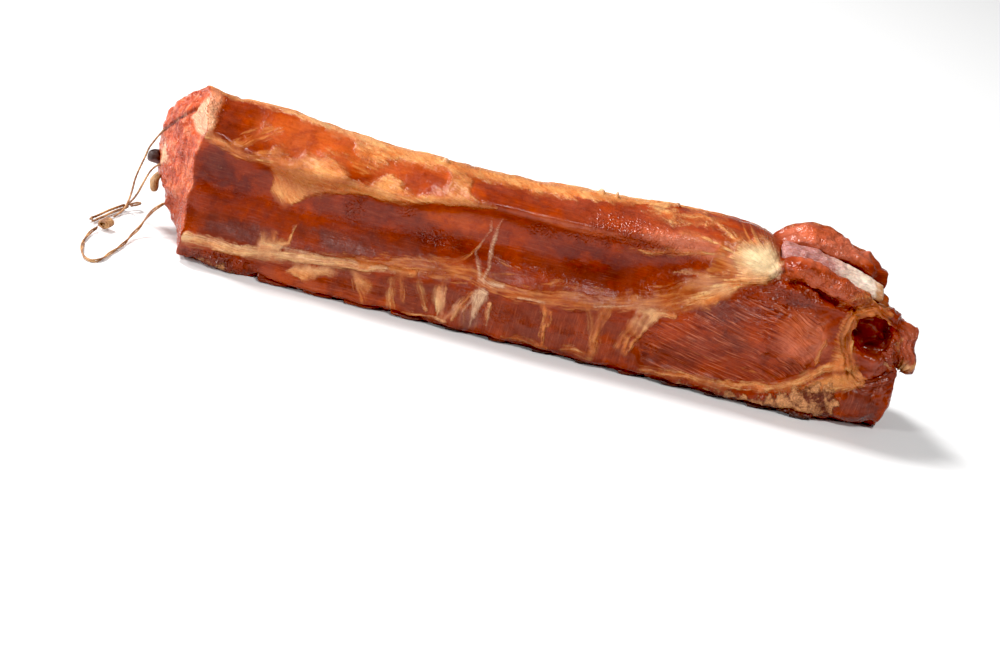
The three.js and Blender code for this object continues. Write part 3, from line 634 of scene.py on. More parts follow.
# How far each kind of thing stands out of the meat or is cut into it, in mm
FAT_RISE = 0.5
VEIL_RISE = 0.3
SINEW_RISE = 0.6
BACK_FOLD_RISE = 1.9
TORN_BIT_RISE = 2.6
DARK_FOLD_RISE = 1.4
RIM_FOLD_RISE = 1.2
CREASE_DEPTH = 1.1
FIBRE_RISE = 0.5
# The swellings over the vertebrae and between the ribs that were taken out: rise and spacing
VERTEBRA_SWELL = (0.9, 33)
RIB_SWELL = (0.8, 65)
# Lower edge of the upper roll of meat: places along the loin, and the heights where it starts
ROLL_FOOT = ([160, 210, 260], [90, 84, 84], [96, 92, 90])


def meat_relief(marks):
    """How far each point of the meat stands out or in, in mm."""
    places = marks["places"]
    x, y, z = places.T
    rib_side, tied, hip = marks["rib_side"], marks["tied"], marks["hip"]
    lumpy = billows(places, 13, 41, 3)
    rough = billows(places, 5.5, 57, 3)
    crumpled = 0.25 + 0.6 * np.maximum(tied, hip) + 0.3 * step(x, 150, 170)
    crumpled = 0.06 + marks["rugged"] * crumpled
    height = 0.4 * lumpy + 0.3 * rough + crumpled * wrinkles(places, 7, 67)
    flow = strands(*marks["flow"].T, 16, 2.2, 31)
    height += FAT_RISE * step(marks["fat"], -0.8, 1.8) * (1 + 0.5 * rough)
    height += VEIL_RISE * step(marks["veil"], -1, 3) * flow
    height += SINEW_RISE * step(marks["cream"], -0.8, 1.2) * rib_side
    height += BACK_FOLD_RISE * step(marks["folds"], -1.6, 1.6)
    height += marks["bits"] * (TORN_BIT_RISE + 2 * rough)
    height += marks["back"] * 0.9 * billows(np.stack([x / 1.8, y, z], axis=1), 14, 99, 3)
    height -= CREASE_DEPTH * step(np.maximum(marks["split"], marks["crease"]), -1.2, 0.6)
    rim = between(marks["hollow"], (-16, -9), (-2, 0))
    height += rim * RIM_FOLD_RISE * np.sin(marks["hollow"] * 1.5 + 3 * lumpy)
    height += DARK_FOLD_RISE * step(marks["dark_fold"], -1, 2)
    roll_along, roll_low, roll_high = ROLL_FOOT
    roll = rib_side * step(x, 160, 168) * step(z, np.interp(x, roll_along, roll_low),
                                               np.interp(x, roll_along, roll_high))
    height += roll * (2.6 * billows(places, 10, 43, 2) + 0.4 * rough)
    # Rough places, with how far each stands out, its lumps and its roughness in mm
    for place, rise, lumps, roughness in (
        (tied, 0, 0.9, 0.4),
        (hip, 0, 0.9, 0.9),
        (step(marks["crust"], -1, 2), 0, 0, 0.9),
        (step(marks["hollow"], -0.5, 6), 1.5, 1.6, 1.2),
        (marks["back"] * (1 - step(z, 26, 46)), 0, 1.5, 0.6),
        (rib_side * step(-x, 180, 192) * (1 - step(z, 13, 17)), 0, 1.3, 1.3),
        (step(x, 256, 262) * (1 - hip), 0, 0.9, 0.9),
    ):
        height += place * (rise + lumps * lumpy + roughness * rough)
    tender = step(marks["tenderloin"], -1, 3)
    height += FIBRE_RISE * strands(*marks["fibre"].T, 26, 2.2, 33) * tender
    eye_end = between(x, (108, 136), (162, 170)) * step(z, 74, 84) * rib_side * (1 - tender)
    height += FIBRE_RISE * flow * eye_end
    chine = marks["chine"] * step(x, -140, -120)
    rise, spacing = VERTEBRA_SWELL
    height += chine * (rise * np.cos((x + 12) * 2 * math.pi / spacing)
                       + 0.2 * strands(*marks["fibre"].T, 16, 2.6, 35))
    ribs = rib_side * between(z, (34, 46), (80, 92)) * (1 - step(x, 70, 110))
    rise, spacing = RIB_SWELL
    height += ribs * rise * np.cos((x + 34) * 2 * math.pi / spacing)
    return height


# Place of one toe along the loin and the spacing of the toes, in mm
FIRST_TOE = -177
TOE_SPACING = 32


def toe_gap(x):
    """How far the front edge lies above the table beside the hooked toes of the vertebrae, in mm."""
    part = ((x - FIRST_TOE) / TOE_SPACING) % 1
    among = between(x, (-190, -180), (226, 240))
    return (1 + 1.8 * step(x, -110, -30)) * among * between(part, (0.05, 0.5), (0.94, 1.0))


def with_toe_gaps(places):
    """The places in mm, with the front edge of the sawn side raised between the toes."""
    x, y, z = places.T
    return np.stack([x, y, np.maximum(z, toe_gap(x) * step(-y, 24, 38))], axis=1)


def torn(marks):
    """How far the torn and folded meat at both ends is pulled out of its plain shape, in mm."""
    places = marks["places"]
    x, y, z = places.T
    pull = np.stack([billows(places, 15, 101 + k, 3) for k in range(3)], axis=1)
    share = 3.2 * step(x, 158, 172) * step(z, 26, 44) + 2 * step(x, 216, 234)
    share += 2.4 * step(marks["hollow"], -9, -3) + 1.6 * step(-x, 228, 240) * step(z, 20, 40)
    return pull * (share * step(z, 0, 12))[:, None]


def set_marks(mesh, marks):
    """Writes the colour, the depths and the directions onto the mesh for its material."""
    tint = mesh.attributes.new("tint", "FLOAT_COLOR", "POINT")
    tint.data.foreach_set("color", np.c_[marks["colour"], np.ones(len(marks["colour"]))].ravel())
    for name in ("fat", "veil", "cream", "grey", "crust", "pale", "wet", "rugged", "streaky",
                 "grain", "even", "cut"):
        depth = mesh.attributes.new(name, "FLOAT", "POINT")
        depth.data.foreach_set("value", marks[name].astype(np.float32))
    for name in ("flow", "fibre"):
        way = np.c_[marks[name], np.zeros(len(marks["fat"]))]
        mesh.attributes.new(name, "FLOAT_VECTOR", "POINT").data.foreach_set(
            "vector", way.astype(np.float32).ravel())


def feed(socket, value):
    """Wires an output to a socket, or sets the socket to a number or colour."""
    if isinstance(value, bpy.types.NodeSocket):
        socket.id_data.links.new(value, socket)
    else:
        socket.default_value = value


def put(tree, kind, feeds=None, **settings):
    """One shader node, with what is fed to each of its sockets."""
    node = tree.nodes.new(kind)
    for name, value in settings.items():
        setattr(node, name, value)
    for name, value in (feeds or {}).items():
        feed(node.inputs[name], value)
    return node


def reckon(operation, *values):
    """The outcome of a sum on outputs and numbers."""
    tree = next(value.id_data for value in values if isinstance(value, bpy.types.NodeSocket))
    return put(tree, "ShaderNodeMath", dict(enumerate(values)), operation=operation).outputs[0]


def times(value, share):
    """A share of a value."""
    return reckon("MULTIPLY", value, share)


def total(*values):
    """All the values added up, in their order."""
    result = values[0]
    for value in values[1:]:
        result = reckon("ADD", result, value)
    return result


def swing(value, amount):
    """A value from 0 to 1, made to run from -amount to amount."""
    return reckon("MULTIPLY_ADD", value, 2 * amount, -amount)


def ramp(value, low, high, to_low=0.0, to_high=1.0):
    """A smooth rise from to_low to to_high while the value goes from low to high."""
    return put(value.id_data, "ShaderNodeMapRange", {
        "Value": value, "From Min": low, "From Max": high, "To Min": to_low, "To Max": to_high,
    }, interpolation_type="SMOOTHSTEP").outputs["Result"]


def lay_over(share, under, over, blend_type="MIX"):
    """One colour laid over another. Colours are outputs, or given as 0 to 255 for a screen."""
    node = put(share.id_data, "ShaderNodeMix", {0: share}, data_type="RGBA", blend_type=blend_type)
    for index, colour in ((6, under), (7, over)):
        if not isinstance(colour, bpy.types.NodeSocket):
            colour = (*linear(colour), 1)
        feed(node.inputs[index], colour)
    return node.outputs[2]


def speckle(place, size, detail=3.0, roughness=0.55, distortion=0.0):
    """Random values from 0 to 1 that change over about size, in the units of place."""
    return put(place.id_data, "ShaderNodeTexNoise", {
        "Vector": place, "Scale": 1 / size, "Detail": detail, "Roughness": roughness,
        "Distortion": distortion,
    }).outputs["Fac"]


def stretched(place, along, across, up=1.0):
    """The place squeezed along each axis, so that speckles on it are drawn out."""
    return put(place.id_data, "ShaderNodeVectorMath", {
        0: place, 1: (1 / along, 1 / across, 1 / up)}, operation="MULTIPLY").outputs[0]


def new_group(name, inputs, outputs):
    """An empty shader node group with named inputs and outputs."""
    tree = bpy.data.node_groups.new(name, "ShaderNodeTree")
    for label, kind, value in inputs:
        socket = tree.interface.new_socket(label, in_out="INPUT", socket_type=kind)
        if value is not None:
            socket.default_value = value
    for label, kind in outputs:
        tree.interface.new_socket(label, in_out="OUTPUT", socket_type=kind)
    return tree, tree.nodes.new("NodeGroupInput").outputs, tree.nodes.new("NodeGroupOutput").inputs


# Smoke settles unevenly: it darkens in clouds and in small spots, and leaves the surface pebbled
SMOKE_CLOUD = (118, 74, 62)
SMOKE_SPOT = (128, 84, 66)
smoke_mottle, given, gives = new_group("smoke mottle", [
    ("Colour", "NodeSocketColor", None),
    ("Place in mm", "NodeSocketVector", None),
    ("Cloud size", "NodeSocketFloat", 14.0),
    ("Darkening", "NodeSocketFloat", 0.5),
    ("Spots", "NodeSocketFloat", 0.3),
], [
    ("Colour", "NodeSocketColor"),
    ("Pebbles", "NodeSocketFloat"),
])
cloud_place = put(smoke_mottle, "ShaderNodeVectorMath", {
    0: given["Place in mm"], "Scale": reckon("DIVIDE", 1.0, given["Cloud size"]),
}, operation="SCALE").outputs[0]
cloud = ramp(speckle(cloud_place, 1.0, 5.0, 0.6, 0.4), 0.35, 0.7)
spots = ramp(speckle(given["Place in mm"], 1.6, 3.0, 0.7), 0.55, 0.75)
darker = lay_over(times(cloud, given["Darkening"]), given["Colour"], SMOKE_CLOUD, "MULTIPLY")
feed(gives["Colour"], lay_over(times(spots, given["Spots"]), darker, SMOKE_SPOT, "MULTIPLY"))
feed(gives["Pebbles"], speckle(given["Place in mm"], 2.2, 6.0, 0.62))


def smoked(colour, place, cloud_size, darkening, spots):
    """The colour with smoke settled on it, and how the smoke pebbles the surface."""
    smoke = put(place.id_data, "ShaderNodeGroup", {
        "Colour": colour, "Place in mm": place, "Cloud size": cloud_size, "Darkening": darkening,
        "Spots": spots,
    }, node_tree=smoke_mottle)
    return smoke.outputs["Colour"], smoke.outputs["Pebbles"]


def new_finish(name):
    """A new material, its shader, and the place on the piece in mm."""
    material = bpy.data.materials.new(name)
    material.use_nodes = True
    tree = material.node_tree
    place = put(tree, "ShaderNodeTexCoord").outputs["Object"]
    place = put(tree, "ShaderNodeVectorMath", {0: place, "Scale": 1000.0}, operation="SCALE")
    return material, tree.nodes["Principled BSDF"], place.outputs[0]


def dress(shader, colour, roughness, height, strength=1.0, distance=0.001, values=None):
    """Leads colour, roughness and bump to the shader, and sets its own values."""
    bump = put(shader.id_data, "ShaderNodeBump", {
        "Height": height, "Strength": strength, "Distance": distance})
    for name, value in (("Base Color", colour), ("Roughness", roughness),
                        ("Normal", bump.outputs["Normal"]), *(values or {}).items()):
        feed(shader.inputs[name], value)


# Colours of what lies on the muscle, each from one tone to another where there are two
VEIL_TONES = (164, 78, 34), (200, 122, 62)
CREAMY_VEIL_AND_HIGHLIGHT = (240, 190, 150)
FAT_TONES = (168, 80, 32), (206, 126, 66)
FAT_CRACKS = (150, 68, 22)
CREAMY_FAT_AND_HIGHLIGHT = (246, 214, 164)
DARKER_FAT = (190, 150, 120)
GREY_VIOLET = (126, 80, 72)
CRUMB_TONES = (110, 54, 36), (232, 164, 110)
CRUMB_CRACKS = (66, 28, 18)
SINEW_TONES = (232, 194, 156), (172, 118, 88)
PALE_WASH = (206, 190, 176)


def smoked_meat():
    """Glossy dark skin, fibres, tan fat, thin streaky skins, cream sinew, grey-violet patches and dry
    crust.
    """
    material, shader, place = new_finish("smoked meat")

    def mark(name, output="Fac"):
        """What is written under the name at each point of the mesh."""
        return put(place.id_data, "ShaderNodeAttribute", attribute_name=name).outputs[output]

    def coated(colour, *coats):
        """Each coat has its mark, its pattern with the range of its rise, a share, and a colour."""
        for name, pattern, low, high, share, coat, blend_type in coats:
            amount = ramp(pattern, low, high, 0.0, share)
            colour = lay_over(times(mark(name), amount) if name else amount, colour, coat, blend_type)
        return colour

    flow, fibre = mark("flow", "Vector"), mark("fibre", "Vector")
    broad = speckle(place, 6.5, 4.0, 0.6)
    fine = speckle(place, 1.5, 4.0, 0.65)
    patchy = speckle(place, 19.0, 3.0, 0.55)
    streaks = speckle(stretched(flow, 14.0, 1.7), 1.0, 4.0, 0.6, 0.3)
    hairs = speckle(stretched(flow, 7.0, 0.7), 1.0, 3.0, 0.6)
    fibres = speckle(stretched(fibre, 15.0, 1.5), 1.0, 4.0, 0.62)
    threads = speckle(stretched(fibre, 6.0, 0.6), 1.0, 3.0, 0.6)
    striae = speckle(stretched(fibre, 22.0, 1.2), 1.0, 2.0, 0.5, 0.25)
    marbling_and_glints = speckle(stretched(place, 4.0, 4.0, 9.0), 1.0, 4.0, 0.62, 0.8)
    streaked = times(swing(streaks, 1.0), mark("streaky"))
    creases = reckon("ABSOLUTE", swing(speckle(place, 4.6, 3.0, 0.6, 0.6), 1.0))
    creases = ramp(creases, 0.0, 0.14, 1.0, 0.0)
    furrows = reckon("ABSOLUTE", swing(speckle(place, 3.4, 1.0, 0.5, 0.3), 1.0))

    # Where each thing lies: its depth is blurred and torn by the patterns
    fat_depth = total(mark("fat"), swing(broad, 2.8), swing(patchy, 2.4), swing(fine, 0.7),
                      times(streaked, 2.4))
    softness = ramp(speckle(place, 15.0, 2.0), 0.42, 0.62, 1.0, 4.5)
    fat_here = ramp(reckon("DIVIDE", fat_depth, softness), -0.9, 1.1)
    veil_depth = total(mark("veil"), swing(broad, 3.2), times(streaked, 6.5))
    veil_here = ramp(veil_depth, -0.5, 4.0, 0.0, 0.8)
    cream_depth = total(mark("cream"), swing(broad, 1.4), swing(fine, 1.2), times(streaked, 0.6))
    cream_here = ramp(cream_depth, -1.0, 2.2, 0.0, 0.8)
    grey_here = ramp(total(mark("grey"), swing(broad, 3.0)), -2.0, 3.0, 0.0, 0.8)
    crust_here = ramp(total(mark("crust"), swing(broad, 9.0), swing(fine, 3.0)), -1.6, 1.6)
    pale_here = times(mark("pale"), ramp(hairs, 0.7, 0.4, 0.5, 1.0))

    muscle = coated(
        mark("tint", "Color"),
        (None, broad, 0.42, 0.7, 0.6, (206, 160, 132), "MULTIPLY"),
        ("even", fibres, 0.46, 0.7, 0.7, (190, 140, 104), "MULTIPLY"),
        (None, patchy, 0.5, 0.35, 0.32, (150, 52, 4), "SCREEN"),
        # On the cut faces the light flecks are partly fat marbling and partly painted glints, and the
        # dark flecks are darker meat
        ("cut", marbling_and_glints, 0.52, 0.7, 0.3, (248, 190, 150), "MIX"),
        ("cut", marbling_and_glints, 0.48, 0.34, 0.7, (170, 100, 84), "MULTIPLY"),
        ("even", threads, 0.5, 0.74, 0.5, (150, 58, 12), "SCREEN"),
        # Along the fibres, most of all in the tenderloin: partly the fibres' own tone, and partly
        # painted highlight on the raised striae and painted shade in the furrows between them
        ("grain", striae, 0.52, 0.68, 0.6, (214, 124, 88), "MIX"),
        ("grain", striae, 0.46, 0.32, 0.6, (172, 112, 100), "MULTIPLY"),
        (None, fine, 0.55, 0.78, 0.35, (170, 70, 16), "SCREEN"),
    )
    veil = lay_over(ramp(streaks, 0.4, 0.68), *VEIL_TONES)
    # Creamy skin, with painted highlight at the end of the eye muscle
    veil = lay_over(pale_here, veil, CREAMY_VEIL_AND_HIGHLIGHT)
    fat = coated(
        lay_over(ramp(fat_depth, -0.8, 3.6), *FAT_TONES),
        (None, patchy, 0.42, 0.6, 0.6, (212, 116, 52), "MIX"),
        (None, patchy, 0.6, 0.44, 0.35, (226, 158, 98), "MIX"),
        ("streaky", streaks, 0.48, 0.62, 0.75, (234, 180, 114), "MIX"),
        ("streaky", hairs, 0.52, 0.66, 0.75, (164, 80, 32), "MIX"),
    )
    fat = lay_over(times(creases, 0.25), fat, FAT_CRACKS)
    # Creamy fat, with painted highlight at the end of the eye muscle and along the top of the fat cap
    fat = lay_over(pale_here, fat, CREAMY_FAT_AND_HIGHLIGHT)
    # Where the pale patches' strength is below 0 the fat is darker
    fat = lay_over(ramp(mark("pale"), 0.0, -1.0), fat, DARKER_FAT, "MULTIPLY")
    crumbs = total(swing(broad, 1.2), swing(patchy, 0.8), swing(fine, 0.2))
    crumbs = lay_over(ramp(crumbs, -0.3, 0.2), *CRUMB_TONES)
    crumbs = lay_over(times(creases, 0.4), crumbs, CRUMB_CRACKS)
    sinew = lay_over(ramp(hairs, 0.4, 0.62), *SINEW_TONES)

    body = lay_over(veil_here, muscle, veil)
    body = lay_over(fat_here, body, fat)
    body = lay_over(times(grey_here, 0.7), body, GREY_VIOLET)
    body = lay_over(times(crust_here, 0.85), body, crumbs)
    body, pebbles = smoked(body, place, 16, 0.3, 0.2)
    body = lay_over(cream_here, body, sinew)
    # A faint pale wash over all the meat, stronger in patches
    body = lay_over(ramp(patchy, 0.35, 0.65, 0.002, 0.02), body, PALE_WASH)

    rough = total(ramp(broad, 0.35, 0.65, 0.26, 0.38), times(mark("wet"), -0.15),
                  times(mark("rugged"), -0.04), times(fat_here, 0.06), times(crust_here, 0.15))
    lift = total(
        times(pebbles, 0.1), times(times(fibres, 0.4), mark("even")), times(broad, 0.5),
        times(times(streaked, 0.5), fat_here), times(fat_here, 0.3),
        times(times(fat_here, fine), 0.3), times(veil_here, 0.3), times(cream_here, 0.4),
        times(creases, -0.02), times(times(mark("grain"), striae), 1.2),
        times(times(crust_here, total(swing(broad, 1.0), fine)), 1.4),
        times(mark("rugged"), times(furrows, 1.5)),
    )
    dress(shader, body, rough, lift, values={
        "IOR": 1.45, "Specular IOR Level": 0.36, "Subsurface Weight": 0.08,
        "Subsurface Scale": 0.0012, "Subsurface Radius": (1.0, 0.35, 0.18),
    })
    return material


def keep_in_box(places):
    """The places in mm, none of them outside the frame's own box."""
    return np.clip(places, np.array(cad_low) * 1000, np.array(cad_high) * 1000)


def set_places(mesh, places):
    """Moves the mesh's points to the places in mm."""
    mesh.vertices.foreach_set("co", (keep_in_box(places) / 1000).ravel())


def show(name, mesh, material, node):
    """A finished piece that stands for a part of the frame."""
    piece = bpy.data.objects.new(name, mesh)
    scene.collection.objects.link(piece)
    mesh.materials.append(material)
    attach(piece, "root")
    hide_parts(node)
    return piece


meat_mesh = finely_faced("loin", MEAT_FACE, MEAT_SMOOTHING)
meat = meat_marks(meat_mesh)
raised = meat["places"] + meat["facings"] * meat_relief(meat)[:, None] + torn(meat)
set_places(meat_mesh, with_toe_gaps(raised))
set_marks(meat_mesh, meat)
meat_finish = smoked_meat()
show("loin_meat", meat_mesh, meat_finish, "loin")


# Halved vertebrae
# The backbone is sawn lengthwise, and its thirteen halves are left in the front of the sawn side.
# Thin dried meat covers each one, and its smoked toe stands out dark below the meat.
VERTEBRA_COUNT = 13
VERTEBRA_FACE = 0.001
VERTEBRA_SMOOTHING = 3
VERTEBRA_LIFT = 0.35
TOE_COLOUR = (66, 40, 34)

for number in range(1, VERTEBRA_COUNT + 1):
    node = f"vertebra_{number:02d}"
    bone_mesh = finely_faced(node, VERTEBRA_FACE, VERTEBRA_SMOOTHING)
    bone = meat_marks(bone_mesh)
    bx, by, bz = bone["places"].T
    toe = (1 - step(bz + bone["drift"][:, 0], 2.4, 4.2)) * (0.3 + 0.7 * step(bx, -120, -40))
    bone["crust"] = np.full(len(bx), NOT_HERE)
    for finish in ("fat", "veil", "cream"):
        bone[finish] = bone[finish] - 14 * toe
    bone["colour"] += (linear(TOE_COLOUR) - bone["colour"]) * toe[:, None]
    bone["wet"] = bone["wet"] * (1 - toe)
    lift = VERTEBRA_LIFT * billows(bone["places"], 6, 61, 3)
    set_places(bone_mesh, with_toe_gaps(bone["places"] + bone["facings"] * lift[:, None]))
    set_marks(bone_mesh, bone)
    show(f"{node}_half", bone_mesh, meat_finish, node)


# Rib plate
# A flat end of rib gristle lies bare between the upper ridge and the roll at the hip end.
# Its silver skin goes from violet at the inner end to cream, with a tan rim.
PLATE_FACE = 0.0011
PLATE_SMOOTHING = 4
PLATE_VIOLET = (190, 130, 124)
PLATE_CREAM = (252, 230, 208)
PLATE_RIM = (206, 148, 96)
PLATE_STREAKS = (164, 92, 70)
PLATE_SHEEN = (236, 204, 190)


def silver_skin():
    """Smooth pale skin over gristle, violet to cream along the loin, with tan smoke at its edges."""
    material, shader, place = new_finish("silver skin")
    along = put(place.id_data, "ShaderNodeSeparateXYZ", {0: place}).outputs[0]
    along = total(along, swing(speckle(place, 9.0, 4.0), 20.0))
    skin = lay_over(ramp(along, 198.0, 226.0), PLATE_VIOLET, PLATE_CREAM)
    skin = lay_over(ramp(along, 236.0, 248.0), skin, PLATE_RIM)
    streaks = speckle(stretched(place, 12.0, 1.6, 1.6), 1.0, 4.0, 0.6, 0.4)
    streaks_here = times(ramp(streaks, 0.46, 0.6, 0.0, 0.8), ramp(along, 200.0, 222.0, 1.0, 0.4))
    skin = lay_over(streaks_here, skin, PLATE_STREAKS)
    pale = speckle(stretched(place, 7.0, 0.9, 0.9), 1.0, 3.0, 0.6)
    skin = lay_over(ramp(pale, 0.56, 0.7, 0.0, 0.6), skin, PLATE_SHEEN)
    skin, pebbles = smoked(skin, place, 9, 0.25, 0.15)
    dress(shader, skin, ramp(streaks, 0.3, 0.7, 0.22, 0.42),
          total(streaks, times(pebbles, 0.8), pale),
          values={"Subsurface Weight": 0.15, "Subsurface Scale": 0.003})
    return material


plate_mesh = finely_faced("rib_plate", PLATE_FACE, PLATE_SMOOTHING)
places, facings = places_and_facings(plate_mesh)
lift = 2.6 * billows(places, 15, 71, 3) + 0.8 * wrinkles(places, 7, 73)
set_places(plate_mesh, places + facings * lift[:, None])
show("rib_plate_skin", plate_mesh, silver_skin(), "rib_plate")


# Bone ends
# Two stubs of bone stand out beside the tied end's cut face: a dark round one, smoked almost black
# with a grey sawn rim, and under it a tan one with dried skin on it.
BONE_END_FACE = 0.0007
BONE_END_SMOOTHING = 3
BONE_END_LIFT = 0.35


def smoked_bone(name, light, dark, split_axis, split_at):
    """Dull smoked bone in two tones, with pores and cracks."""
    material, shader, place = new_finish(name)
    across = put(place.id_data, "ShaderNodeSeparateXYZ", {0: place}).outputs[split_axis]
    across = total(across, swing(speckle(place, 4.0, 3.0), 3.0))
    tones = lay_over(ramp(across, split_at - 1.5, split_at + 1.5), light, dark)
    tones, pebbles = smoked(tones, place, 5, 0.5, 0.5)
    dress(shader, tones, ramp(pebbles, 0.3, 0.7, 0.42, 0.62), pebbles, 0.8)
    return material


# For each: its finish, the two tones, the axis and the place in mm where they meet, and its slot
BONE_ENDS = {
    "dark_bone_end": ("dark bone", (138, 112, 112), (58, 30, 22), 2, 48.5, "dark_bone"),
    "pale_bone_end": ("tan bone", (196, 152, 104), (120, 88, 80), 0, -273.0, "pale_bone"),
}
for node, (*tones, slot) in BONE_ENDS.items():
    end_mesh = finely_faced(node, BONE_END_FACE, BONE_END_SMOOTHING)
    places, facings = places_and_facings(end_mesh)
    lift = BONE_END_LIFT * billows(places, 4, 81, 3)
    set_places(end_mesh, places + facings * lift[:, None])
    show(f"{node}_stub", end_mesh, smoked_bone(*tones), node)


# Twine
# The loin hung in the smoke from natural twine drawn through the tied end: a doubled loop, and two
# single strands that meet in a knot on the table, where the spare end is folded into a hank.
TWINE_TONES = (150, 104, 70), (204, 156, 106)
TWINE_FIBRES = (112, 74, 52)
LOOP_DIAMETER = 2.6
STRAND_DIAMETER = 1.6
PLIES = 2
# How far the doubled loop, a single strand, and the thinner ones run in one turn of their twist
LOOP_PITCH = 46
STRAND_PITCH = 8
KNOT_PITCH = 7
KNOT_CORNERS = 10
LOOP_ROUTE = [
    (-259, 8, 24), (-265, 5, 22), (-268, 2, 20.3), (-271.5, -1.5, 17.3), (-274, -5, 13.6),
    (-276, -9, 9.8), (-278, -15, 6.2), (-281, -23, 3.4), (-283, -34, 1.8), (-286, -47, 1.4),
    (-290, -62, 1.4), (-293.5, -75, 1.4), (-298.5, -81.5, 1.4), (-304, -79, 1.4), (-308, -69, 1.4),
    (-310, -56, 1.4), (-310, -43, 1.4), (-308.5, -32, 1.9), (-305.5, -24.5, 3),
]
HIGH_ROUTE = [
    (-270, 18, 76), (-277, 16.5, 73), (-280.5, 17, 67.5), (-283.5, 18, 61), (-286, 20, 54.5),
    (-287.5, 23.5, 47), (-289, 26, 40), (-290.5, 27, 33), (-291.5, 26, 26), (-291.5, 23, 20.5),
    (-291.5, 17, 15.5), (-292, 10, 12), (-293, 3, 10), (-295, -4, 9), (-297.5, -10, 8),
]
LOW_ROUTE = [
    (-271, 12, 50), (-277, 12, 46), (-280.5, 12.5, 41), (-282.5, 13, 35.5), (-284, 14, 30),
    (-285.2, 16.5, 25.5), (-286.3, 19, 21), (-287.5, 21.5, 17), (-289, 23.5, 13), (-290.8, 25, 9.3),
    (-293, 26.3, 6),
]


def smooth_route(points, gap=0.5):
    """Places in mm along a smooth curve through the points, about gap apart."""
    points = np.array(points, dtype=float)
    padded = np.vstack([2 * points[0] - points[1], points, 2 * points[-1] - points[-2]])
    route = []
    for k in range(1, len(padded) - 2):
        before, start, end, after = padded[k - 1:k + 3]
        steps = max(2, int(np.linalg.norm(end - start) / gap))
        t = (np.arange(steps) / steps)[:, None]
        route.append(0.5 * (2 * start + (end - before) * t
                            + (2 * before - 5 * start + 4 * end - after) * t ** 2
                            + (3 * start - before - 3 * end + after) * t ** 3))
    return np.vstack(route + [points[-1:]])


def run_along(route):
    """How far along the route each of its places lies, in mm."""
    return np.r_[0, np.cumsum(np.linalg.norm(np.diff(route, axis=0), axis=1))]


def steady_frames(route):
    """Two directions across the route at each of its places, which turn no more than it does."""
    ahead = np.gradient(route, axis=0)
    ahead /= np.linalg.norm(ahead, axis=1)[:, None]
    side = np.cross(ahead[0], (0, 0, 1))
    sides = []
    for way in ahead:
        side = side - way * (side @ way)
        side = side / np.linalg.norm(side)
        sides.append(side)
    sides = np.array(sides)
    return sides, np.cross(ahead, sides)


def twisted_tube(route, radius, plies, pitch, corners=12, groove=0.16):
    """Points and faces of a strand whose plies wind round its middle once in each pitch."""
    sides, tops = steady_frames(route)
    run = run_along(route)
    angle = np.arange(corners) / corners * 2 * math.pi
    wound = plies * (angle[None] - run[:, None] / pitch * 2 * math.pi)
    girth = 1 - groove * (0.5 - 0.5 * np.cos(wound))
    taper = np.minimum(1, np.minimum(run, run[-1] - run) / radius + 0.25)[:, None]
    ring = route[:, None] + radius * (girth * taper)[..., None] * (
        np.cos(angle)[None, :, None] * sides[:, None] + np.sin(angle)[None, :, None] * tops[:, None])
    points = ring.reshape(-1, 3)
    rows = len(route)
    faces = [(r * corners + k, r * corners + (k + 1) % corners,
              (r + 1) * corners + (k + 1) % corners, (r + 1) * corners + k)
             for r in range(rows - 1) for k in range(corners)]
    faces.append(tuple(reversed(range(corners))))
    faces.append(tuple(range((rows - 1) * corners, rows * corners)))
    return points, faces


def joined_mesh(name, tubes):
    """One mesh of several tubes, in metres."""
    points, faces = [], []
    start = 0
    for tube_points, tube_faces in tubes:
        points.append(tube_points)
        faces += [tuple(start + k for k in face) for face in tube_faces]
        start += len(tube_points)
    mesh = bpy.data.meshes.new(name)
    mesh.from_pydata((keep_in_box(np.vstack(points)) / 1000).tolist(), [], faces)
    mesh.shade_smooth()
    return mesh


def doubled(route, radius, pitch):
    """Two thin strands side by side that wind slowly round the route."""
    sides, tops = steady_frames(route)
    turn = (run_along(route) / pitch * 2 * math.pi)[:, None]
    apart = (np.cos(turn) * sides + np.sin(turn) * tops) * radius * 0.5
    return [twisted_tube(route + apart * way, radius * 0.5, PLIES, KNOT_PITCH) for way in (1, -1)]


def natural_twine():
    """Dry tan fibres, darker with smoke in places, with darker fibres speckled over them."""
    material, shader, place = new_finish("natural twine")
    fibre = speckle(place, 0.5, 3.0, 0.7)
    tan = lay_over(ramp(speckle(place, 11.0, 3.0), 0.42, 0.62), *TWINE_TONES)
    tan = lay_over(ramp(fibre, 0.45, 0.7, 0.0, 0.6), tan, TWINE_FIBRES)
    tan = smoked(tan, place, 7, 0.35, 0.3)[0]
    dress(shader, tan, ramp(fibre, 0.3, 0.7, 0.55, 0.8), fibre, 0.7, 0.0004)
    return material


twine = natural_twine()
loop_route = smooth_route(LOOP_ROUTE)
high_route = smooth_route(HIGH_ROUTE)
low_route = smooth_route(LOW_ROUTE)
loop = show("twine_loop_strands", joined_mesh("loop", doubled(
    loop_route, LOOP_DIAMETER / 2, LOOP_PITCH)), twine, "twine_loop")
high = show("twine_high_thread", joined_mesh("high", [twisted_tube(
    high_route, STRAND_DIAMETER / 2, PLIES, STRAND_PITCH)]), twine, "twine_high_strand")
low = show("twine_low_thread", joined_mesh("low", [twisted_tube(
    low_route, STRAND_DIAMETER / 2, PLIES, STRAND_PITCH)]), twine, "twine_low_strand")

# The knot: turns of the strand wound over each other where the loop and the high strand meet
KNOT_MIDDLE = np.array((-301.0, -18.0, 4.9))
KNOT_AXIS = np.array((-5.5, -11.5, -1.2))
KNOT_AXIS /= np.linalg.norm(KNOT_AXIS)
knot_side = np.cross(KNOT_AXIS, (0, 0, 1))
knot_side /= np.linalg.norm(knot_side)
knot_up = np.cross(knot_side, KNOT_AXIS)


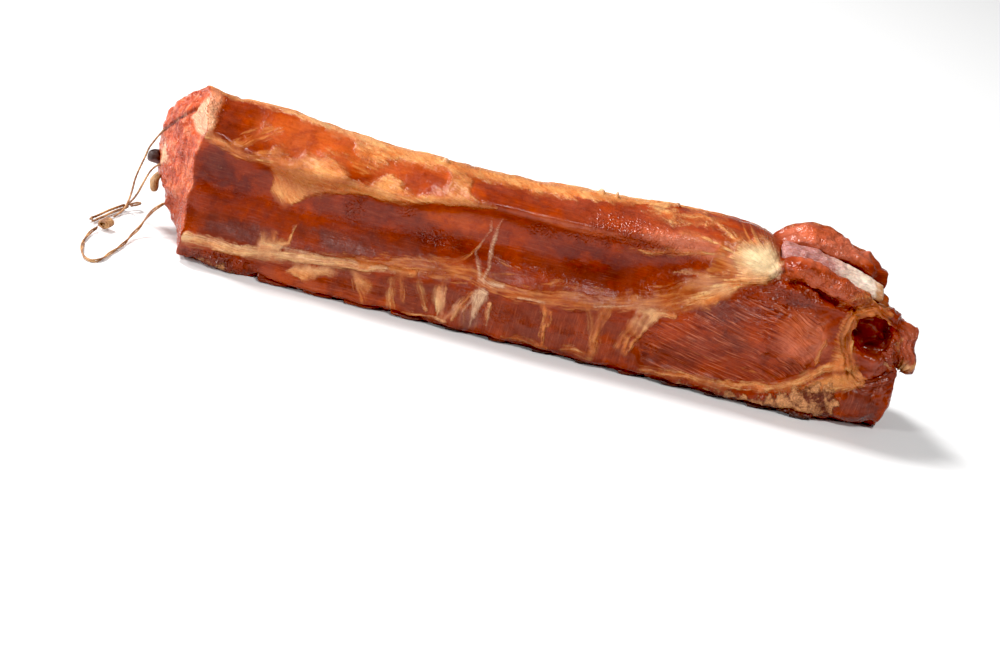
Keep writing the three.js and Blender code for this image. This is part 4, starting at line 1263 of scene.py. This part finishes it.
def knot_turns(lean, start, end, turns, wide, high):
    """A strand wound round the knot's middle, between two places along it."""
    share = np.linspace(0, 1, int(turns * 26))[:, None]
    angle = share * turns * 2 * math.pi
    middle = KNOT_MIDDLE + KNOT_AXIS * (start + (end - start) * share + lean * np.cos(angle))
    return middle + knot_side * np.cos(angle) * wide + knot_up * np.sin(angle) * high


knot = show("twine_knot_turns", joined_mesh("knot", [
    twisted_tube(knot_turns(0.6, -4.2, 3.6, 4.4, 3.4, 2.6), 0.95, PLIES, KNOT_PITCH, KNOT_CORNERS),
    twisted_tube(knot_turns(-1.6, -2.0, 2.4, 2.2, 2.0, 1.6), 1.1, PLIES, KNOT_PITCH, KNOT_CORNERS),
]), twine, "twine_knot")

# The hank: the spare end laid back and forth in four runs, with a small loop left at one end
HANK_MIDDLE_LINE = smooth_route([
    (-311.5, -12.5, 3.4), (-307, -1, 3.2), (-303, 10, 3.2), (-298, 21, 3.3), (-294, 27.5, 3.8)])
# How far to the side of the middle line, and above it, each run lies
HANK_RUNS = [(-2.6, -1.1), (-1.0, 0.6), (0.9, -1.2), (2.5, 0.5)]
hank_side = np.array((0.91, -0.41, 0.0))
hank_line = []
for number, (sideways, up) in enumerate(HANK_RUNS):
    run = HANK_MIDDLE_LINE[::6] + hank_side * sideways + np.array((0, 0, 1)) * up
    hank_line.append(run if number % 2 == 0 else run[::-1])
SMALL_LOOP = [(-296, 25, 3.4), (-290, 33, 4.6), (-286.5, 36, 5.2), (-284.6, 34.5, 5.6),
              (-286.5, 31, 5.2), (-291, 27.5, 4.4)]
hank = show("twine_hank_runs", joined_mesh("hank", [
    twisted_tube(smooth_route(np.vstack(hank_line)), 0.85, PLIES, STRAND_PITCH, KNOT_CORNERS),
    twisted_tube(smooth_route(SMALL_LOOP), 0.8, PLIES, STRAND_PITCH, KNOT_CORNERS),
]), twine, "twine_hank")


# Table
# A plain white table top, much larger than the view.
FLOOR_HALF = 6.0
floor_mesh = bpy.data.meshes.new("table")
floor_mesh.from_pydata([(-FLOOR_HALF, -FLOOR_HALF, 0), (FLOOR_HALF, -FLOOR_HALF, 0),
                        (FLOOR_HALF, FLOOR_HALF, 0), (-FLOOR_HALF, FLOOR_HALF, 0)], [], [(0, 1, 2, 3)])
floor = bpy.data.objects.new("table", floor_mesh)
scene.collection.objects.link(floor)
floor_finish = bpy.data.materials.new("white table")
floor_finish.use_nodes = True
floor_shader = floor_finish.node_tree.nodes["Principled BSDF"]
for name, value in (("Base Color", (0.82, 0.82, 0.82, 1)), ("Specular IOR Level", 0.2),
                    ("Roughness", 0.6)):
    floor_shader.inputs[name].default_value = value
floor_mesh.materials.append(floor_finish)
